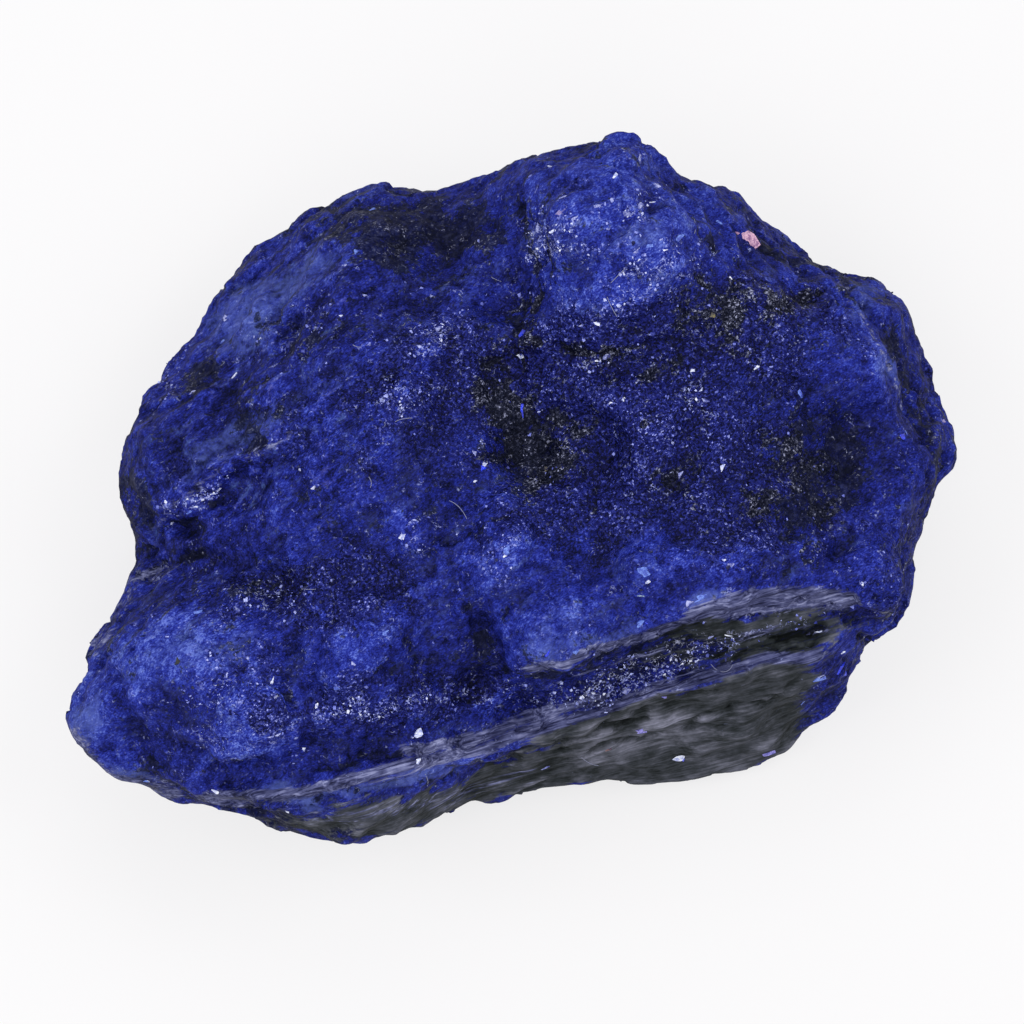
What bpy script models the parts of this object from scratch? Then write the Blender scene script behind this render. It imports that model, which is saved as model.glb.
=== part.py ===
"""A rough sapphire: one broken, blocky stone about 30 mm long that lies on its flat base.

The stone is carved in its own carving frame, in millimetres: u runs along its length, v across its
broad face and w up out of that face. The carved stone is then leaned back by LEAN and set on the
floor, with +Z up and its origin at the middle of its footprint.
"""

import math
from typing import NamedTuple

import bmesh
import bpy
import numpy as np
from mathutils import Matrix, Vector, noise

MM = 0.001

# The block.
LEAN = math.radians(15.0)  # how far the broad face tips towards the front
SLAB = 6.0  # height of the uncarved slab
EDGE_WALL = 0.5  # height of the blunt edge left all round the outline
SPREAD_SOFTNESS = 1.6  # how roundly the broad face bends between its spot heights
WORK_GRAIN = 0.32  # cell size of the working mesh
SMOOTHING_ALLOWANCE = 1.028  # the working mesh rounds the outline's points inwards by this much
TRIANGLES = 9400

# The broken and weathered surface.
FACET_SIZE = 2.1  # least distance between the middles of two broken facets
FLATNESS = 0.62  # 1 would make every facet a true plane
FACET_SEED = 17
LUMP_SIZE, LUMP_RELIEF = 4.6, 0.3
BREAK_SIZE, BREAK_RELIEF = 2.6, 0.15
CHIP_SIZE, CHIP_RELIEF = 1.9, 0.16
LAYERS_LOOK = Vector((-0.25, 0.45, 0.85)).normalized()  # square to the layers
LAYER_PITCH, LAYER_RELIEF = 1.15, 0.27
LAYER_RISE = 0.78  # share of each layer's thickness over which it stands out more and more
LAYER_WANDER_SIZE, LAYER_WANDER = 3.6, 1.3
SEED = Vector((11.3, 4.7, 28.1))

# The edge of the stone, seen square on to the broad face, clockwise from its left tip.
OUTLINE_AS_SEEN = [
    (-15.4, -6.6), (-14.6, -5.5), (-13.8, -4.6), (-13.5, -3.9), (-13.3, -3.1), (-12.9, -2.4),
    (-12.3, -1.5), (-12.6, -0.7), (-13.2, 0.5), (-13.6, 1.5), (-13.8, 2.2), (-13.5, 3.5),
    (-13.0, 4.3), (-12.5, 5.1), (-10.9, 6.7), (-9.8, 7.6), (-8.3, 9.0), (-7.5, 9.6),
    (-6.3, 10.2), (-5.9, 10.8), (-5.3, 10.9), (-3.9, 11.1), (-3.1, 10.8), (-2.7, 10.6),
    (-2.1, 10.7), (-1.3, 11.0), (-0.5, 11.2), (0.0, 11.8), (0.7, 12.1), (1.2, 12.0),
    (1.9, 12.1), (3.0, 11.9), (3.4, 12.2), (3.8, 12.6), (4.2, 12.5), (4.4, 11.9),
    (4.6, 11.2), (5.2, 10.8), (6.4, 11.0), (7.3, 10.9), (7.8, 10.2), (8.9, 9.3),
    (9.3, 8.7), (10.9, 8.2), (12.7, 7.6), (13.3, 7.0), (13.5, 6.3), (13.6, 5.4),
    (13.8, 4.4), (14.0, 3.5), (14.5, 2.8), (15.0, 2.1), (14.3, 1.5), (13.8, 0.6),
    (13.2, -0.8), (13.1, -2.0), (12.9, -3.1), (12.7, -4.2), (12.3, -4.2), (11.7, -4.0),
    (11.0, -4.9), (11.4, -5.7), (11.2, -6.5), (9.8, -7.6), (9.2, -8.1), (8.2, -8.6),
    (6.0, -9.1), (4.1, -9.4), (3.0, -9.6), (1.8, -9.2), (0.2, -9.4), (-1.5, -9.7),
    (-3.1, -10.7), (-3.7, -11.2), (-4.8, -11.6), (-5.6, -11.3), (-6.9, -10.5), (-8.4, -10.1),
    (-9.7, -9.5), (-10.4, -9.5), (-12.1, -9.1), (-13.4, -9.5), (-14.2, -9.3), (-14.7, -8.4),
    (-15.0, -7.6),
]


OUTLINE = [(u * SMOOTHING_ALLOWANCE, v * SMOOTHING_ALLOWANCE) for u, v in OUTLINE_AS_SEEN]


class Rim(NamedTuple):
    """How the stone turns over at one place on its outline."""

    name: str
    u: float
    v: float
    level: float  # w of the outline there
    shoulder: float  # how far in the broad face begins
    roundness: float  # 1 is a flat slope up to the broad face, 3 a round shoulder
    undercut: float  # how far in the underside meets the floor


RIMS = [
    Rim("left_nose", -14.9, -6.6, 5.6, 2.2, 2.6, 7.0),
    Rim("left_flank", -13.4, -3.1, 5.4, 1.8, 2.0, 6.0),
    Rim("left_notch", -12.5, -1.5, 5.6, 1.6, 1.8, 5.5),
    Rim("left_bulge", -13.1, 2.0, 3.6, 2.4, 1.6, 5.0),
    Rim("upper_left_slope", -10.5, 6.4, 1.4, 3.6, 1.3, 2.5),
    Rim("upper_left_corner", -7.6, 9.6, 2.4, 3.4, 1.5, 3.0),
    Rim("back_left", -3.8, 11.0, 3.8, 2.6, 2.0, 3.6),
    Rim("back_notch", -2.7, 10.6, 4.2, 2.2, 2.0, 3.6),
    Rim("crown_left", 0.7, 12.0, 5.2, 1.6, 2.2, 3.8),
    Rim("crown_tip", 3.9, 12.7, 6.6, 1.5, 2.4, 4.5),
    Rim("crown_right", 5.4, 11.2, 6.0, 1.2, 2.0, 4.0),
    Rim("back_right", 9.0, 9.4, 4.0, 2.2, 1.5, 3.8),
    Rim("right_brow", 12.6, 7.4, 3.4, 2.6, 1.6, 4.5),
    Rim("right_side", 14.2, 4.5, 3.8, 2.2, 1.6, 5.0),
    Rim("right_point", 14.8, 2.1, 5.2, 1.4, 2.2, 5.5),
    Rim("right_flank", 13.4, -2.0, 5.4, 1.1, 2.2, 4.6),
    Rim("corner_block", 12.6, -4.1, 6.0, 0.8, 2.4, 4.2),
    Rim("corner_step", 11.4, -5.1, 4.2, 0.9, 1.4, 3.0),
    Rim("front_right_cut", 9.6, -7.5, 3.2, 2.9, 1.25, 2.6),
    Rim("front_cut", 6.0, -8.9, 3.2, 3.3, 1.25, 2.2),
    Rim("front_middle", 1.8, -8.9, 3.8, 2.5, 1.3, 2.6),
    Rim("front_left_lip", -2.0, -10.0, 5.2, 1.9, 1.4, 4.4),
    Rim("lower_belly", -4.9, -11.0, 6.0, 2.0, 1.5, 6.0),
    Rim("lower_left_lip", -9.0, -10.1, 6.8, 0.8, 1.8, 7.0),
    Rim("nose_underside", -13.2, -9.0, 6.0, 1.8, 2.6, 7.5),
]


class Spot(NamedTuple):
    """The height of the broad face at one place."""

    name: str
    u: float
    v: float
    w: float


SPOTS = [
    Spot("nose_top", -13.6, -6.4, 8.7),
    Spot("left_lobe", -11.6, -4.6, 10.0),
    Spot("left_lobe_foot", -12.0, -1.9, 7.6),
    Spot("lower_lobe", -9.6, -7.6, 10.6),
    Spot("lower_left_edge", -8.2, -9.2, 10.7),
    Spot("middle_lump", -5.4, -4.8, 11.5),
    Spot("left_crest", -10.4, 0.6, 8.3),
    Spot("left_ledge_top", -8.0, 2.0, 9.6),
    Spot("upper_left_brow", -8.6, 5.4, 7.4),
    Spot("upper_left_dome", -5.6, 7.2, 8.6),
    Spot("inner_left", -5.6, 3.0, 10.6),
    Spot("back_left_edge", -4.2, 9.6, 7.4),
    Spot("back_hollow", -2.0, 8.8, 7.4),
    Spot("middle", -3.6, 0.4, 11.0),
    Spot("middle_front", -2.6, -3.4, 11.3),
    Spot("belly_lip", -2.4, -8.0, 10.7),
    Spot("front_lip", 2.0, -6.4, 10.3),
    Spot("crown_foot", 0.6, 6.6, 9.6),
    Spot("crown", 3.0, 10.2, 10.6),
    Spot("crown_apron", 3.8, 7.2, 10.9),
    Spot("centre", 0.9, 2.4, 10.3),
    Spot("centre_front", 1.4, -1.6, 11.2),
    Spot("centre_right", 4.6, 2.6, 10.9),
    Spot("right_front_field", 5.6, -1.6, 11.5),
    Spot("back_shelf", 7.4, 8.8, 9.2),
    Spot("right_field", 8.6, 4.0, 10.2),
    Spot("right_hollow", 10.4, 1.6, 9.5),
    Spot("right_crest", 12.2, 4.4, 8.6),
    Spot("right_block", 12.2, -2.4, 9.7),
    Spot("right_step", 10.6, -3.2, 10.6),
    Spot("front_right_lip", 7.4, -5.4, 10.4),
    Spot("corner_lip", 10.6, -4.8, 9.6),
]


class Ledge(NamedTuple):
    """A step down across the broad face, towards the front, along a line given from left to right."""

    name: str
    line: list[tuple[float, float]]
    drop: float
    width: float


LEDGES = [
    Ledge(
        "front_ledge",
        [(-1.2, -5.2), (1.6, -5.3), (3.0, -4.9), (4.6, -4.3), (6.3, -3.7), (8.3, -3.1), (11.3, -2.8)],
        1.5,
        0.8,
    ),
    Ledge("belly_ledge", [(-8.6, -8.0), (-5.4, -7.5), (-2.4, -6.7), (0.4, -6.1)], 0.5, 0.5),
    Ledge("left_ledge", [(-11.8, -0.6), (-10.6, 0.2), (-9.6, 1.0), (-8.6, 1.6)], 0.4, 0.45),
    Ledge("centre_ledge", [(-0.4, 5.2), (1.6, 5.2), (3.6, 4.9), (6.2, 5.3)], 0.5, 0.5),
    Ledge("right_shelf", [(5.6, 0.2), (8.0, -0.7), (10.4, -0.2)], 0.35, 0.5),
]


class Lump(NamedTuple):
    """A rounded rise on the broad face, or with a negative height a hollow."""

    name: str
    u: float
    v: float
    radius: float
    height: float


LUMPS = [
    Lump("front_knob", 1.2, -4.0, 1.7, 1.25),
    Lump("front_knob_trough", -0.7, -3.9, 0.9, -0.7),
    Lump("nose_knob", -14.0, -6.6, 1.2, 0.6),
    Lump("nose_neck", -12.6, -7.4, 1.0, -0.35),
    Lump("left_lobe_swell", -11.4, -5.0, 2.2, 0.6),
    Lump("lower_lobe_swell", -8.6, -6.2, 1.7, 0.5),
    Lump("lobe_trough", -7.2, -6.0, 0.8, -0.55),
    Lump("middle_swell", -5.3, -4.7, 1.8, 0.55),
    Lump("middle_trough", -3.6, -4.6, 0.9, -0.5),
    Lump("crown_swell", 2.6, 9.4, 1.9, 1.0),
    Lump("crown_tip_swell", 3.9, 11.7, 0.9, 0.7),
    Lump("crown_right_swell", 5.4, 8.0, 1.5, 0.5),
    Lump("crown_left_trough", 0.2, 9.6, 0.9, -0.7),
    Lump("back_dip", -2.6, 9.0, 1.5, -0.6),
    Lump("back_left_swell", -4.8, 9.4, 1.2, 0.5),
    Lump("upper_left_swell", -8.4, 5.6, 1.6, 0.45),
    Lump("centre_dip", 1.0, 2.3, 1.4, -0.7),
    Lump("seam_dip", 0.3, 5.0, 0.8, -0.6),
    Lump("centre_left_swell", -3.6, 2.8, 1.6, 0.35),
    Lump("centre_front_swell", -0.4, -0.9, 1.3, 0.45),
    Lump("front_field_swell", 4.3, -2.0, 1.3, 0.5),
    Lump("front_field_dip", 2.9, -1.2, 0.9, -0.45),
    Lump("front_field_outer_swell", 7.0, -1.7, 1.2, 0.4),
    Lump("right_swell", 4.6, 2.9, 1.5, 0.45),
    Lump("right_dip", 10.6, 1.5, 1.6, -0.45),
    Lump("right_crest_swell", 12.0, 4.9, 1.3, 0.7),
    Lump("corner_swell", 12.4, -2.6, 1.1, 0.5),
    Lump("back_shelf_swell", 8.0, 7.0, 1.3, 0.35),
]


class Groove(NamedTuple):
    """A furrow along a line on the broad face, or with a negative depth a rib."""

    name: str
    line: list[tuple[float, float]]
    depth: float
    width: float


GROOVES = [
    Groove("notch_groove", [(-13.0, -1.4), (-11.2, -1.7), (-9.4, -1.7), (-7.6, -2.2)], 0.8, 0.5),
    Groove("right_crest_foot", [(9.6, 7.9), (11.4, 6.9), (12.6, 5.6), (13.5, 3.4)], 0.55, 0.35),
    Groove("centre_crack", [(2.6, 3.0), (2.7, 1.6), (3.0, 0.6)], 0.5, 0.3),
    Groove("crown_crack", [(0.6, 8.3), (1.4, 6.9)], 0.45, 0.3),
    Groove("lobe_crease", [(-9.0, -8.6), (-10.4, -8.2), (-11.6, -8.8)], 0.4, 0.35),
    Groove("corner_crack", [(10.9, -1.2), (11.2, -2.6), (11.4, -3.4)], 0.4, 0.35),
    Groove(
        "front_rib",
        [
            (-9.6, -9.5),
            (-7.4, -9.4),
            (-3.7, -8.6),
            (-0.4, -7.8),
            (2.9, -6.7),
            (6.3, -5.7),
            (9.6, -4.9),
            (11.6, -4.4),
        ],
        -0.7,
        0.4,
    ),
    Groove("front_rib_foot", [(-0.4, -6.9), (2.9, -6.0), (6.3, -4.9), (9.6, -4.1)], 0.35, 0.4),
    Groove("crown_flank", [(-0.5, 10.4), (0.0, 8.6), (-0.3, 7.0)], 0.8, 0.8),
]

# Flat chips off the hidden sides: a point in the carving frame that the chip's face passes through,
# and the way that the face looks.
CHIPS = [
    ("back_right_chip", (8.2, 10.3, 3.0), (0.45, 0.78, -0.43)),
    ("back_left_chip", (-7.4, 9.6, 0.9), (-0.50, 0.75, -0.43)),
    ("left_under_chip", (-11.8, -1.5, 2.6), (-0.78, 0.05, -0.62)),
    ("nose_under_chip", (-10.8, -7.0, 4.2), (-0.55, -0.45, -0.70)),
    ("belly_under_chip", (-3.0, -9.3, 3.9), (-0.05, -0.80, -0.60)),
    ("right_under_chip", (13.0, 1.0, 1.6), (0.82, -0.05, -0.57)),
]


def distance_to_line(points, line):
    """For each point, how far it is from a line of straight runs, and how far along that is nearest.

    The distance along is in runs: 2.5 is the middle of the third run.
    """
    best = np.full(len(points), np.inf)
    along = np.zeros(len(points))
    for index, (start, end) in enumerate(zip(line[:-1], line[1:])):
        start = np.array(start)
        run = np.array(end) - start
        share = np.clip((points - start) @ run / (run @ run), 0.0, 1.0)
        reach = np.linalg.norm(points - start - share[:, None] * run, axis=1)
        nearer = reach < best
        best[nearer] = reach[nearer]
        along[nearer] = index + share[nearer]
    return best, along


def smooth_step(share):
    """0 below 0 and 1 above 1, with a smooth rise between."""
    share = np.clip(share, 0.0, 1.0)
    return share * share * (3.0 - 2.0 * share)


def rim_values(points):
    """(distance in from the outline, then the rims' level, shoulder, roundness and undercut there)."""
    closed = OUTLINE + OUTLINE[:1]
    inset, along = distance_to_line(points, closed)
    places = distance_to_line(np.array([(rim.u, rim.v) for rim in RIMS]), closed)[1]
    order = np.argsort(places)
    round_trip = len(OUTLINE)
    found = []
    for field in ("level", "shoulder", "roundness", "undercut"):
        values = np.array([getattr(rim, field) for rim in RIMS])[order]
        found.append(np.interp(along, places[order], values, period=round_trip))
    return inset, *found


def spread_heights(points):
    """The broad face's height at each point: a smooth sheet through the spot heights."""
    places = np.array([(spot.u, spot.v) for spot in SPOTS])
    heights = np.array([spot.w for spot in SPOTS])
    middle = heights.mean()

    def reach(a, b):
        gaps = np.linalg.norm(a[:, None] - b[None], axis=2)
        return np.sqrt(gaps**2 + SPREAD_SOFTNESS**2)

    weights = np.linalg.solve(reach(places, places), heights - middle)
    return middle + reach(points, places) @ weights


def face_details(points):
    """What the ledges, lumps and grooves add to the broad face's height at each point."""
    added = np.zeros(len(points))
    for ledge in LEDGES:
        line_u, line_v = np.array(ledge.line).T
        below = np.interp(points[:, 0], line_u, line_v) - points[:, 1]
        ends = np.minimum(points[:, 0] - line_u[0], line_u[-1] - points[:, 0])
        step = smooth_step(below / ledge.width + 0.5) * smooth_step(ends / (2 * ledge.width) + 1.0)
        fade = np.exp(-np.maximum(below, 0.0) / (5 * ledge.drop))
        added -= ledge.drop * step * fade
    for lump in LUMPS:
        gap = np.hypot(points[:, 0] - lump.u, points[:, 1] - lump.v)
        added += lump.height * np.exp(-((gap / lump.radius) ** 2))
    for groove in GROOVES:
        gap, _ = distance_to_line(points, groove.line)
        added -= groove.depth * np.exp(-((gap / groove.width) ** 2))
    return added


def carve(corners):
    """Moves the slab's corners so that its two faces become the broad face and the underside."""
    points = corners[:, :2]
    up = corners[:, 2] / SLAB + 0.5
    inset, level, shoulder, roundness, undercut = rim_values(points)
    rise = 1.0 - (1.0 - np.clip(inset / shoulder, 0.0, 1.0)) ** roundness
    top = level + EDGE_WALL / 2 + (spread_heights(points) - level) * rise
    floor = -math.tan(LEAN) * points[:, 1]
    fall = 1.0 - (1.0 - np.clip(inset / (1.25 * undercut), 0.0, 1.0)) ** 2
    bottom = level - EDGE_WALL / 2 - (level - floor + 0.8) * fall
    return np.column_stack([points, bottom + (top - bottom) * up])


def corners_of(mesh):
    """The mesh's corners as an array."""
    flat = np.empty(len(mesh.vertices) * 3, np.float32)
    mesh.vertices.foreach_get("co", flat)
    return flat.reshape(-1, 3).astype(float)


def set_corners(mesh, corners):
    """Puts the mesh's corners where the array says."""
    mesh.vertices.foreach_set("co", corners.astype(np.float32).ravel())
    mesh.update()


def apply_modifier(stone, kind, **settings):
    """Adds a modifier to the stone, and makes what it gives the stone's own mesh."""
    modifier = stone.modifiers.new(kind.title(), kind)
    for name, value in settings.items():
        setattr(modifier, name, value)
    graph = bpy.context.evaluated_depsgraph_get()
    made = bpy.data.meshes.new_from_object(stone.evaluated_get(graph))
    stone.modifiers.remove(modifier)
    old, stone.data = stone.data, made
    bpy.data.meshes.remove(old)


def even_out(stone):
    """Lays an even working mesh over the stone."""
    apply_modifier(stone, "REMESH", mode="VOXEL", voxel_size=WORK_GRAIN, adaptivity=0.0)


def slab(name):
    """A flat slab of the outline's shape, with its middle at w 0."""
    shape = bmesh.new()
    face = shape.faces.new([shape.verts.new((u, v, -SLAB / 2)) for u, v in OUTLINE])
    pulled = bmesh.ops.extrude_face_region(shape, geom=[face])["geom"]
    top = [part for part in pulled if isinstance(part, bmesh.types.BMVert)]
    bmesh.ops.translate(shape, verts=top, vec=(0.0, 0.0, SLAB))
    bmesh.ops.recalc_face_normals(shape, faces=shape.faces)
    bmesh.ops.triangulate(shape, faces=shape.faces)
    mesh = bpy.data.meshes.new(name)
    shape.to_mesh(mesh)
    shape.free()
    stone = bpy.data.objects.new(name, mesh)
    bpy.context.scene.collection.objects.link(stone)
    return stone


def strike_chips(stone):
    """Cuts a flat face at each chip."""
    shape = bmesh.new()
    shape.from_mesh(stone.data)
    for _, through, looks in CHIPS:
        cut = bmesh.ops.bisect_plane(
            shape,
            geom=shape.verts[:] + shape.edges[:] + shape.faces[:],
            plane_co=through,
            plane_no=looks,
            clear_outer=True,
        )["geom_cut"]
        bmesh.ops.holes_fill(shape, edges=[part for part in cut if isinstance(part, bmesh.types.BMEdge)])
        bmesh.ops.triangulate(shape, faces=[face for face in shape.faces if len(face.verts) > 4])
    shape.to_mesh(stone.data)
    shape.free()


def break_into_facets(stone):
    """Flattens many small patches of the surface, which leaves blunt edges between them."""
    mesh = stone.data
    corners = corners_of(mesh)
    normals = np.array([vertex.normal for vertex in mesh.vertices])
    middles = corners[:1]
    for corner in np.random.default_rng(FACET_SEED).permutation(corners):
        if np.linalg.norm(middles - corner, axis=1).min() > FACET_SIZE:
            middles = np.vstack([middles, corner])
    patches = np.array([np.linalg.norm(middles - corner, axis=1).argmin() for corner in corners])
    for patch in range(len(middles)):
        inside = patches == patch
        look = normals[inside].mean(axis=0)
        look /= np.linalg.norm(look)
        proud = (corners[inside] - corners[inside].mean(axis=0)) @ look
        corners[inside] -= FLATNESS * proud[:, None] * look
    set_corners(mesh, corners)


def cut_details(stone):
    """Adds the ledges, lumps and grooves to whatever faces up."""
    mesh = stone.data
    corners = corners_of(mesh)
    up = np.array([vertex.normal.z for vertex in mesh.vertices])
    corners[:, 2] += face_details(corners[:, :2]) * smooth_step(2.5 * up)
    set_corners(mesh, corners)


def roughness_at(corner):
    """How far the weathered surface stands out at a corner: lumps, breaks, chips and layers."""
    place = Vector(corner)
    lumps = noise.fractal(place / LUMP_SIZE + SEED, 1.0, 2.0, 3)
    breaks = noise.ridged_multi_fractal(place / BREAK_SIZE + SEED, 1.0, 2.1, 3, 1.0, 1.5) - 1.1
    chips = noise.noise(place / CHIP_SIZE + SEED, noise_basis="VORONOI_F2F1") - 0.3
    wander = noise.noise(place / LAYER_WANDER_SIZE + SEED) * LAYER_WANDER
    through = ((place.dot(LAYERS_LOOK) + wander) / LAYER_PITCH) % 1.0
    layer = min(through / LAYER_RISE, (1.0 - through) / (1.0 - LAYER_RISE)) - 0.5
    layer *= max(0.0, 0.55 + 1.2 * noise.noise(place / LUMP_SIZE - SEED))
    return LUMP_RELIEF * lumps + BREAK_RELIEF * breaks + CHIP_RELIEF * chips + LAYER_RELIEF * layer


def weather(stone):
    """Roughens the surface along its normals."""
    mesh = stone.data
    normals = np.array([vertex.normal for vertex in mesh.vertices])
    corners = corners_of(mesh)
    rough = np.array([roughness_at(corner) for corner in corners])
    set_corners(mesh, corners + normals * rough[:, None])


def lean_back(stone):
    """Turns the stone from the carving frame to the way it lies."""
    stone.data.transform(Matrix.Rotation(LEAN, 4, "X"))


def grind_base(stone):
    """Flattens whatever would be under the floor, which gives the flat base."""
    corners = corners_of(stone.data)
    near_floor = corners[:, 2] < 0.05
    corners[near_floor, 2] = 0.0
    set_corners(stone.data, corners)


def centre_on_footprint(stone):
    """Puts the middle of the stone's bounds at the origin, and its mesh in metres."""
    corners = corners_of(stone.data)
    middle = (corners.min(axis=0) + corners.max(axis=0)) / 2
    set_corners(stone.data, (corners - (middle[0], middle[1], 0.0)) * MM)


def sapphire_blue():
    """The deep blue, glassy and grainy finish."""
    material = bpy.data.materials.new("sapphire_blue")
    material.use_nodes = True
    shader = material.node_tree.nodes["Principled BSDF"]
    shader.inputs["Base Color"].default_value = (0.018, 0.028, 0.22, 1.0)
    shader.inputs["Roughness"].default_value = 0.38
    shader.inputs["Metallic"].default_value = 0.0
    shader.inputs["IOR"].default_value = 1.76
    return material


def build_stone():
    """Carves the whole stone as one object."""
    stone = slab("rough_sapphire")
    even_out(stone)
    set_corners(stone.data, carve(corners_of(stone.data)))
    even_out(stone)
    strike_chips(stone)
    even_out(stone)
    break_into_facets(stone)
    even_out(stone)
    cut_details(stone)
    even_out(stone)
    weather(stone)
    lean_back(stone)
    grind_base(stone)
    faces = 2 * len(stone.data.polygons)
    apply_modifier(stone, "DECIMATE", decimate_type="COLLAPSE", ratio=TRIANGLES / faces)
    grind_base(stone)
    centre_on_footprint(stone)
    stone.data.shade_flat()
    stone.data.materials.append(sapphire_blue())
    return stone


for leftover in list(bpy.data.objects):
    bpy.data.objects.remove(leftover)
build_stone()
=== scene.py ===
"""The looks of a rough sapphire: its fine broken surface, its grains, its finish, and the studio."""

import logging
import math
from dataclasses import dataclass, field
from enum import Enum
from functools import reduce
from itertools import product
from typing import Any, Iterable, NamedTuple, Sequence

import bpy
import numpy as np
from mathutils import Matrix, Vector, noise
from mathutils.bvhtree import BVHTree


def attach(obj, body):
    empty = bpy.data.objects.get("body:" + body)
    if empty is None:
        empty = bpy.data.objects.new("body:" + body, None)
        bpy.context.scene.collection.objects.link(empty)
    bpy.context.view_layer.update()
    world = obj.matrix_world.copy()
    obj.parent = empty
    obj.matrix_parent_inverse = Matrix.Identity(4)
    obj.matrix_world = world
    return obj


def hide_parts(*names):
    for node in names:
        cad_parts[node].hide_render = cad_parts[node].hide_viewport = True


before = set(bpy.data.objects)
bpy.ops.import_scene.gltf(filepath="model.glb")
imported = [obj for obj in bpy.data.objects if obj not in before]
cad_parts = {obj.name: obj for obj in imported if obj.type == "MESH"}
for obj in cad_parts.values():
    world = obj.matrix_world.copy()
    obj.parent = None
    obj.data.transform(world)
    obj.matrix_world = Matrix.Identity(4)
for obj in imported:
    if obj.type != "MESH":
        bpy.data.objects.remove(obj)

log = logging.getLogger("rough_sapphire")
MM = 0.001
Triple = tuple[float, float, float]
Colour = Triple
Stops = tuple[tuple[float, Colour], ...]
Points = np.ndarray


def srgb(red: int, green: int, blue: int) -> Colour:
    """A colour as it looks on screen, as the linear colour that a shader takes.

    Args:
        red: The red channel, from 0 to 255.
        green: The green channel, from 0 to 255.
        blue: The blue channel, from 0 to 255.

    Returns:
        The linear channels, from 0 to 1.
    """
    shares = [channel / 255 for channel in (red, green, blue)]
    linear = [c / 12.92 if c <= 0.04045 else ((c + 0.055) / 1.055) ** 2.4 for c in shares]
    return linear[0], linear[1], linear[2]


def stops(*rows: tuple[float, int, int, int]) -> Stops:
    """The stops of a colour ramp, each given as its place and its colour from 0 to 255."""
    return tuple((place, srgb(*channels)) for place, *channels in rows)


def smooth_step(low: float, high: float, values: Points) -> Points:
    """A smooth rise from 0 at low to 1 at high.

    Args:
        low: Where the rise starts. It may be above high, for a fall.
        high: Where the rise ends.
        values: The values to turn into shares.

    Returns:
        The shares, from 0 to 1.
    """
    share = np.clip((values - low) / (high - low), 0.0, 1.0)
    return share * share * (3.0 - 2.0 * share)


# ---------------------------------------------------------------------------------------------
# Where things are: the carving frame, in millimetres.
# ---------------------------------------------------------------------------------------------


@dataclass(frozen=True)
class CarvingFrame:
    """The stone's own frame: u along it, v across its broad face and w out of that face, in mm."""

    lean: float = math.radians(15.0)
    origin: Triple = (-0.133, 1.068, 0.0)
    eye_distance: float = 300.0
    eye_level: float = 6.0

    def to_world(self) -> Matrix:
        """The matrix from millimetres in this frame to metres in the world."""
        turned = Matrix.Rotation(self.lean, 4, "X")
        return Matrix.Scale(MM, 4) @ Matrix.Translation(self.origin) @ turned

    def outward(self) -> Vector:
        """The way the broad face looks, in the world."""
        return Matrix.Rotation(self.lean, 3, "X") @ Vector((0.0, 0.0, 1.0))

    def eye(self) -> Vector:
        """Where the viewer stands, in this frame."""
        return Vector((0.0, 0.0, self.eye_level + self.eye_distance))

    def plan(self, points: Points) -> Points:
        """Where points seem to lie on the plane w = eye_level, for the viewer.

        Args:
            points: Rows of (u, v, w).

        Returns:
            Rows of (u, v) on that plane.
        """
        nearer = self.eye_distance / (self.eye_distance + self.eye_level - points[:, 2])
        return points[:, :2] * nearer[:, None]


CARVING = CarvingFrame()


class Patch(NamedTuple):
    """An oval place on the broad face: its middle, half length, half width, turn and amount."""

    u: float
    v: float
    long: float
    wide: float
    turn: float = 0.0
    amount: float = 1.0


class Band(NamedTuple):
    """A strip along a line on the broad face, of a half width and an amount at each end."""

    line: tuple[tuple[float, float], ...]
    wide: float
    amount: float = 1.0


def patches(*rows: tuple[float, ...]) -> tuple[Patch, ...]:
    """The patches whose numbers the rows give."""
    return tuple(Patch(*row) for row in rows)


def bands(*rows: tuple[Any, ...]) -> tuple[Band, ...]:
    """The bands whose lines, widths and amounts the rows give."""
    return tuple(Band(*row) for row in rows)


def patch_cover(places: Points, all_patches: Iterable[Patch]) -> Points:
    """How much the patches cover each place.

    Args:
        places: Rows of (u, v).
        all_patches: The patches, whose amounts add up where they overlap.

    Returns:
        The sum of the patches at each place.
    """
    cover = np.zeros(len(places))
    for patch in all_patches:
        angle = math.radians(patch.turn)
        gap = places - (patch.u, patch.v)
        along = gap @ (math.cos(angle), math.sin(angle))
        across = gap @ (-math.sin(angle), math.cos(angle))
        cover += patch.amount * np.exp(-(((along / patch.long) ** 2 + (across / patch.wide) ** 2) ** 1.5))
    return cover


def band_cover(places: Points, all_bands: Iterable[Band]) -> Points:
    """How much the bands cover each place, at most one band's amount.

    Args:
        places: Rows of (u, v).
        all_bands: The bands.

    Returns:
        The largest of the bands at each place.
    """
    cover = np.zeros(len(places))
    for band in all_bands:
        near = np.full(len(places), np.inf)
        for start, end in zip(band.line[:-1], band.line[1:]):
            run = np.subtract(end, start)
            share = np.clip((places - start) @ run / (run @ run), 0.0, 1.0)
            near = np.minimum(near, np.linalg.norm(places - start - share[:, None] * run, axis=1))
        cover = np.maximum(cover, band.amount * np.exp(-((near / band.wide) ** 2)))
    return cover


def noise_at(points: Points, size: float, offset: float = 0.0, octaves: int = 2) -> Points:
    """Fractal noise of about -1 to 1 at each point.

    Args:
        points: Rows of coordinates in mm.
        size: The size of the noise's lumps in mm.
        offset: Moves the noise, so that two uses differ.
        octaves: How many finer layers it has.

    Returns:
        One value for each point.
    """
    moved = points / size + offset
    return np.array([noise.fractal(place, 1.0, 2.0, octaves) for place in moved.tolist()])


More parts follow.
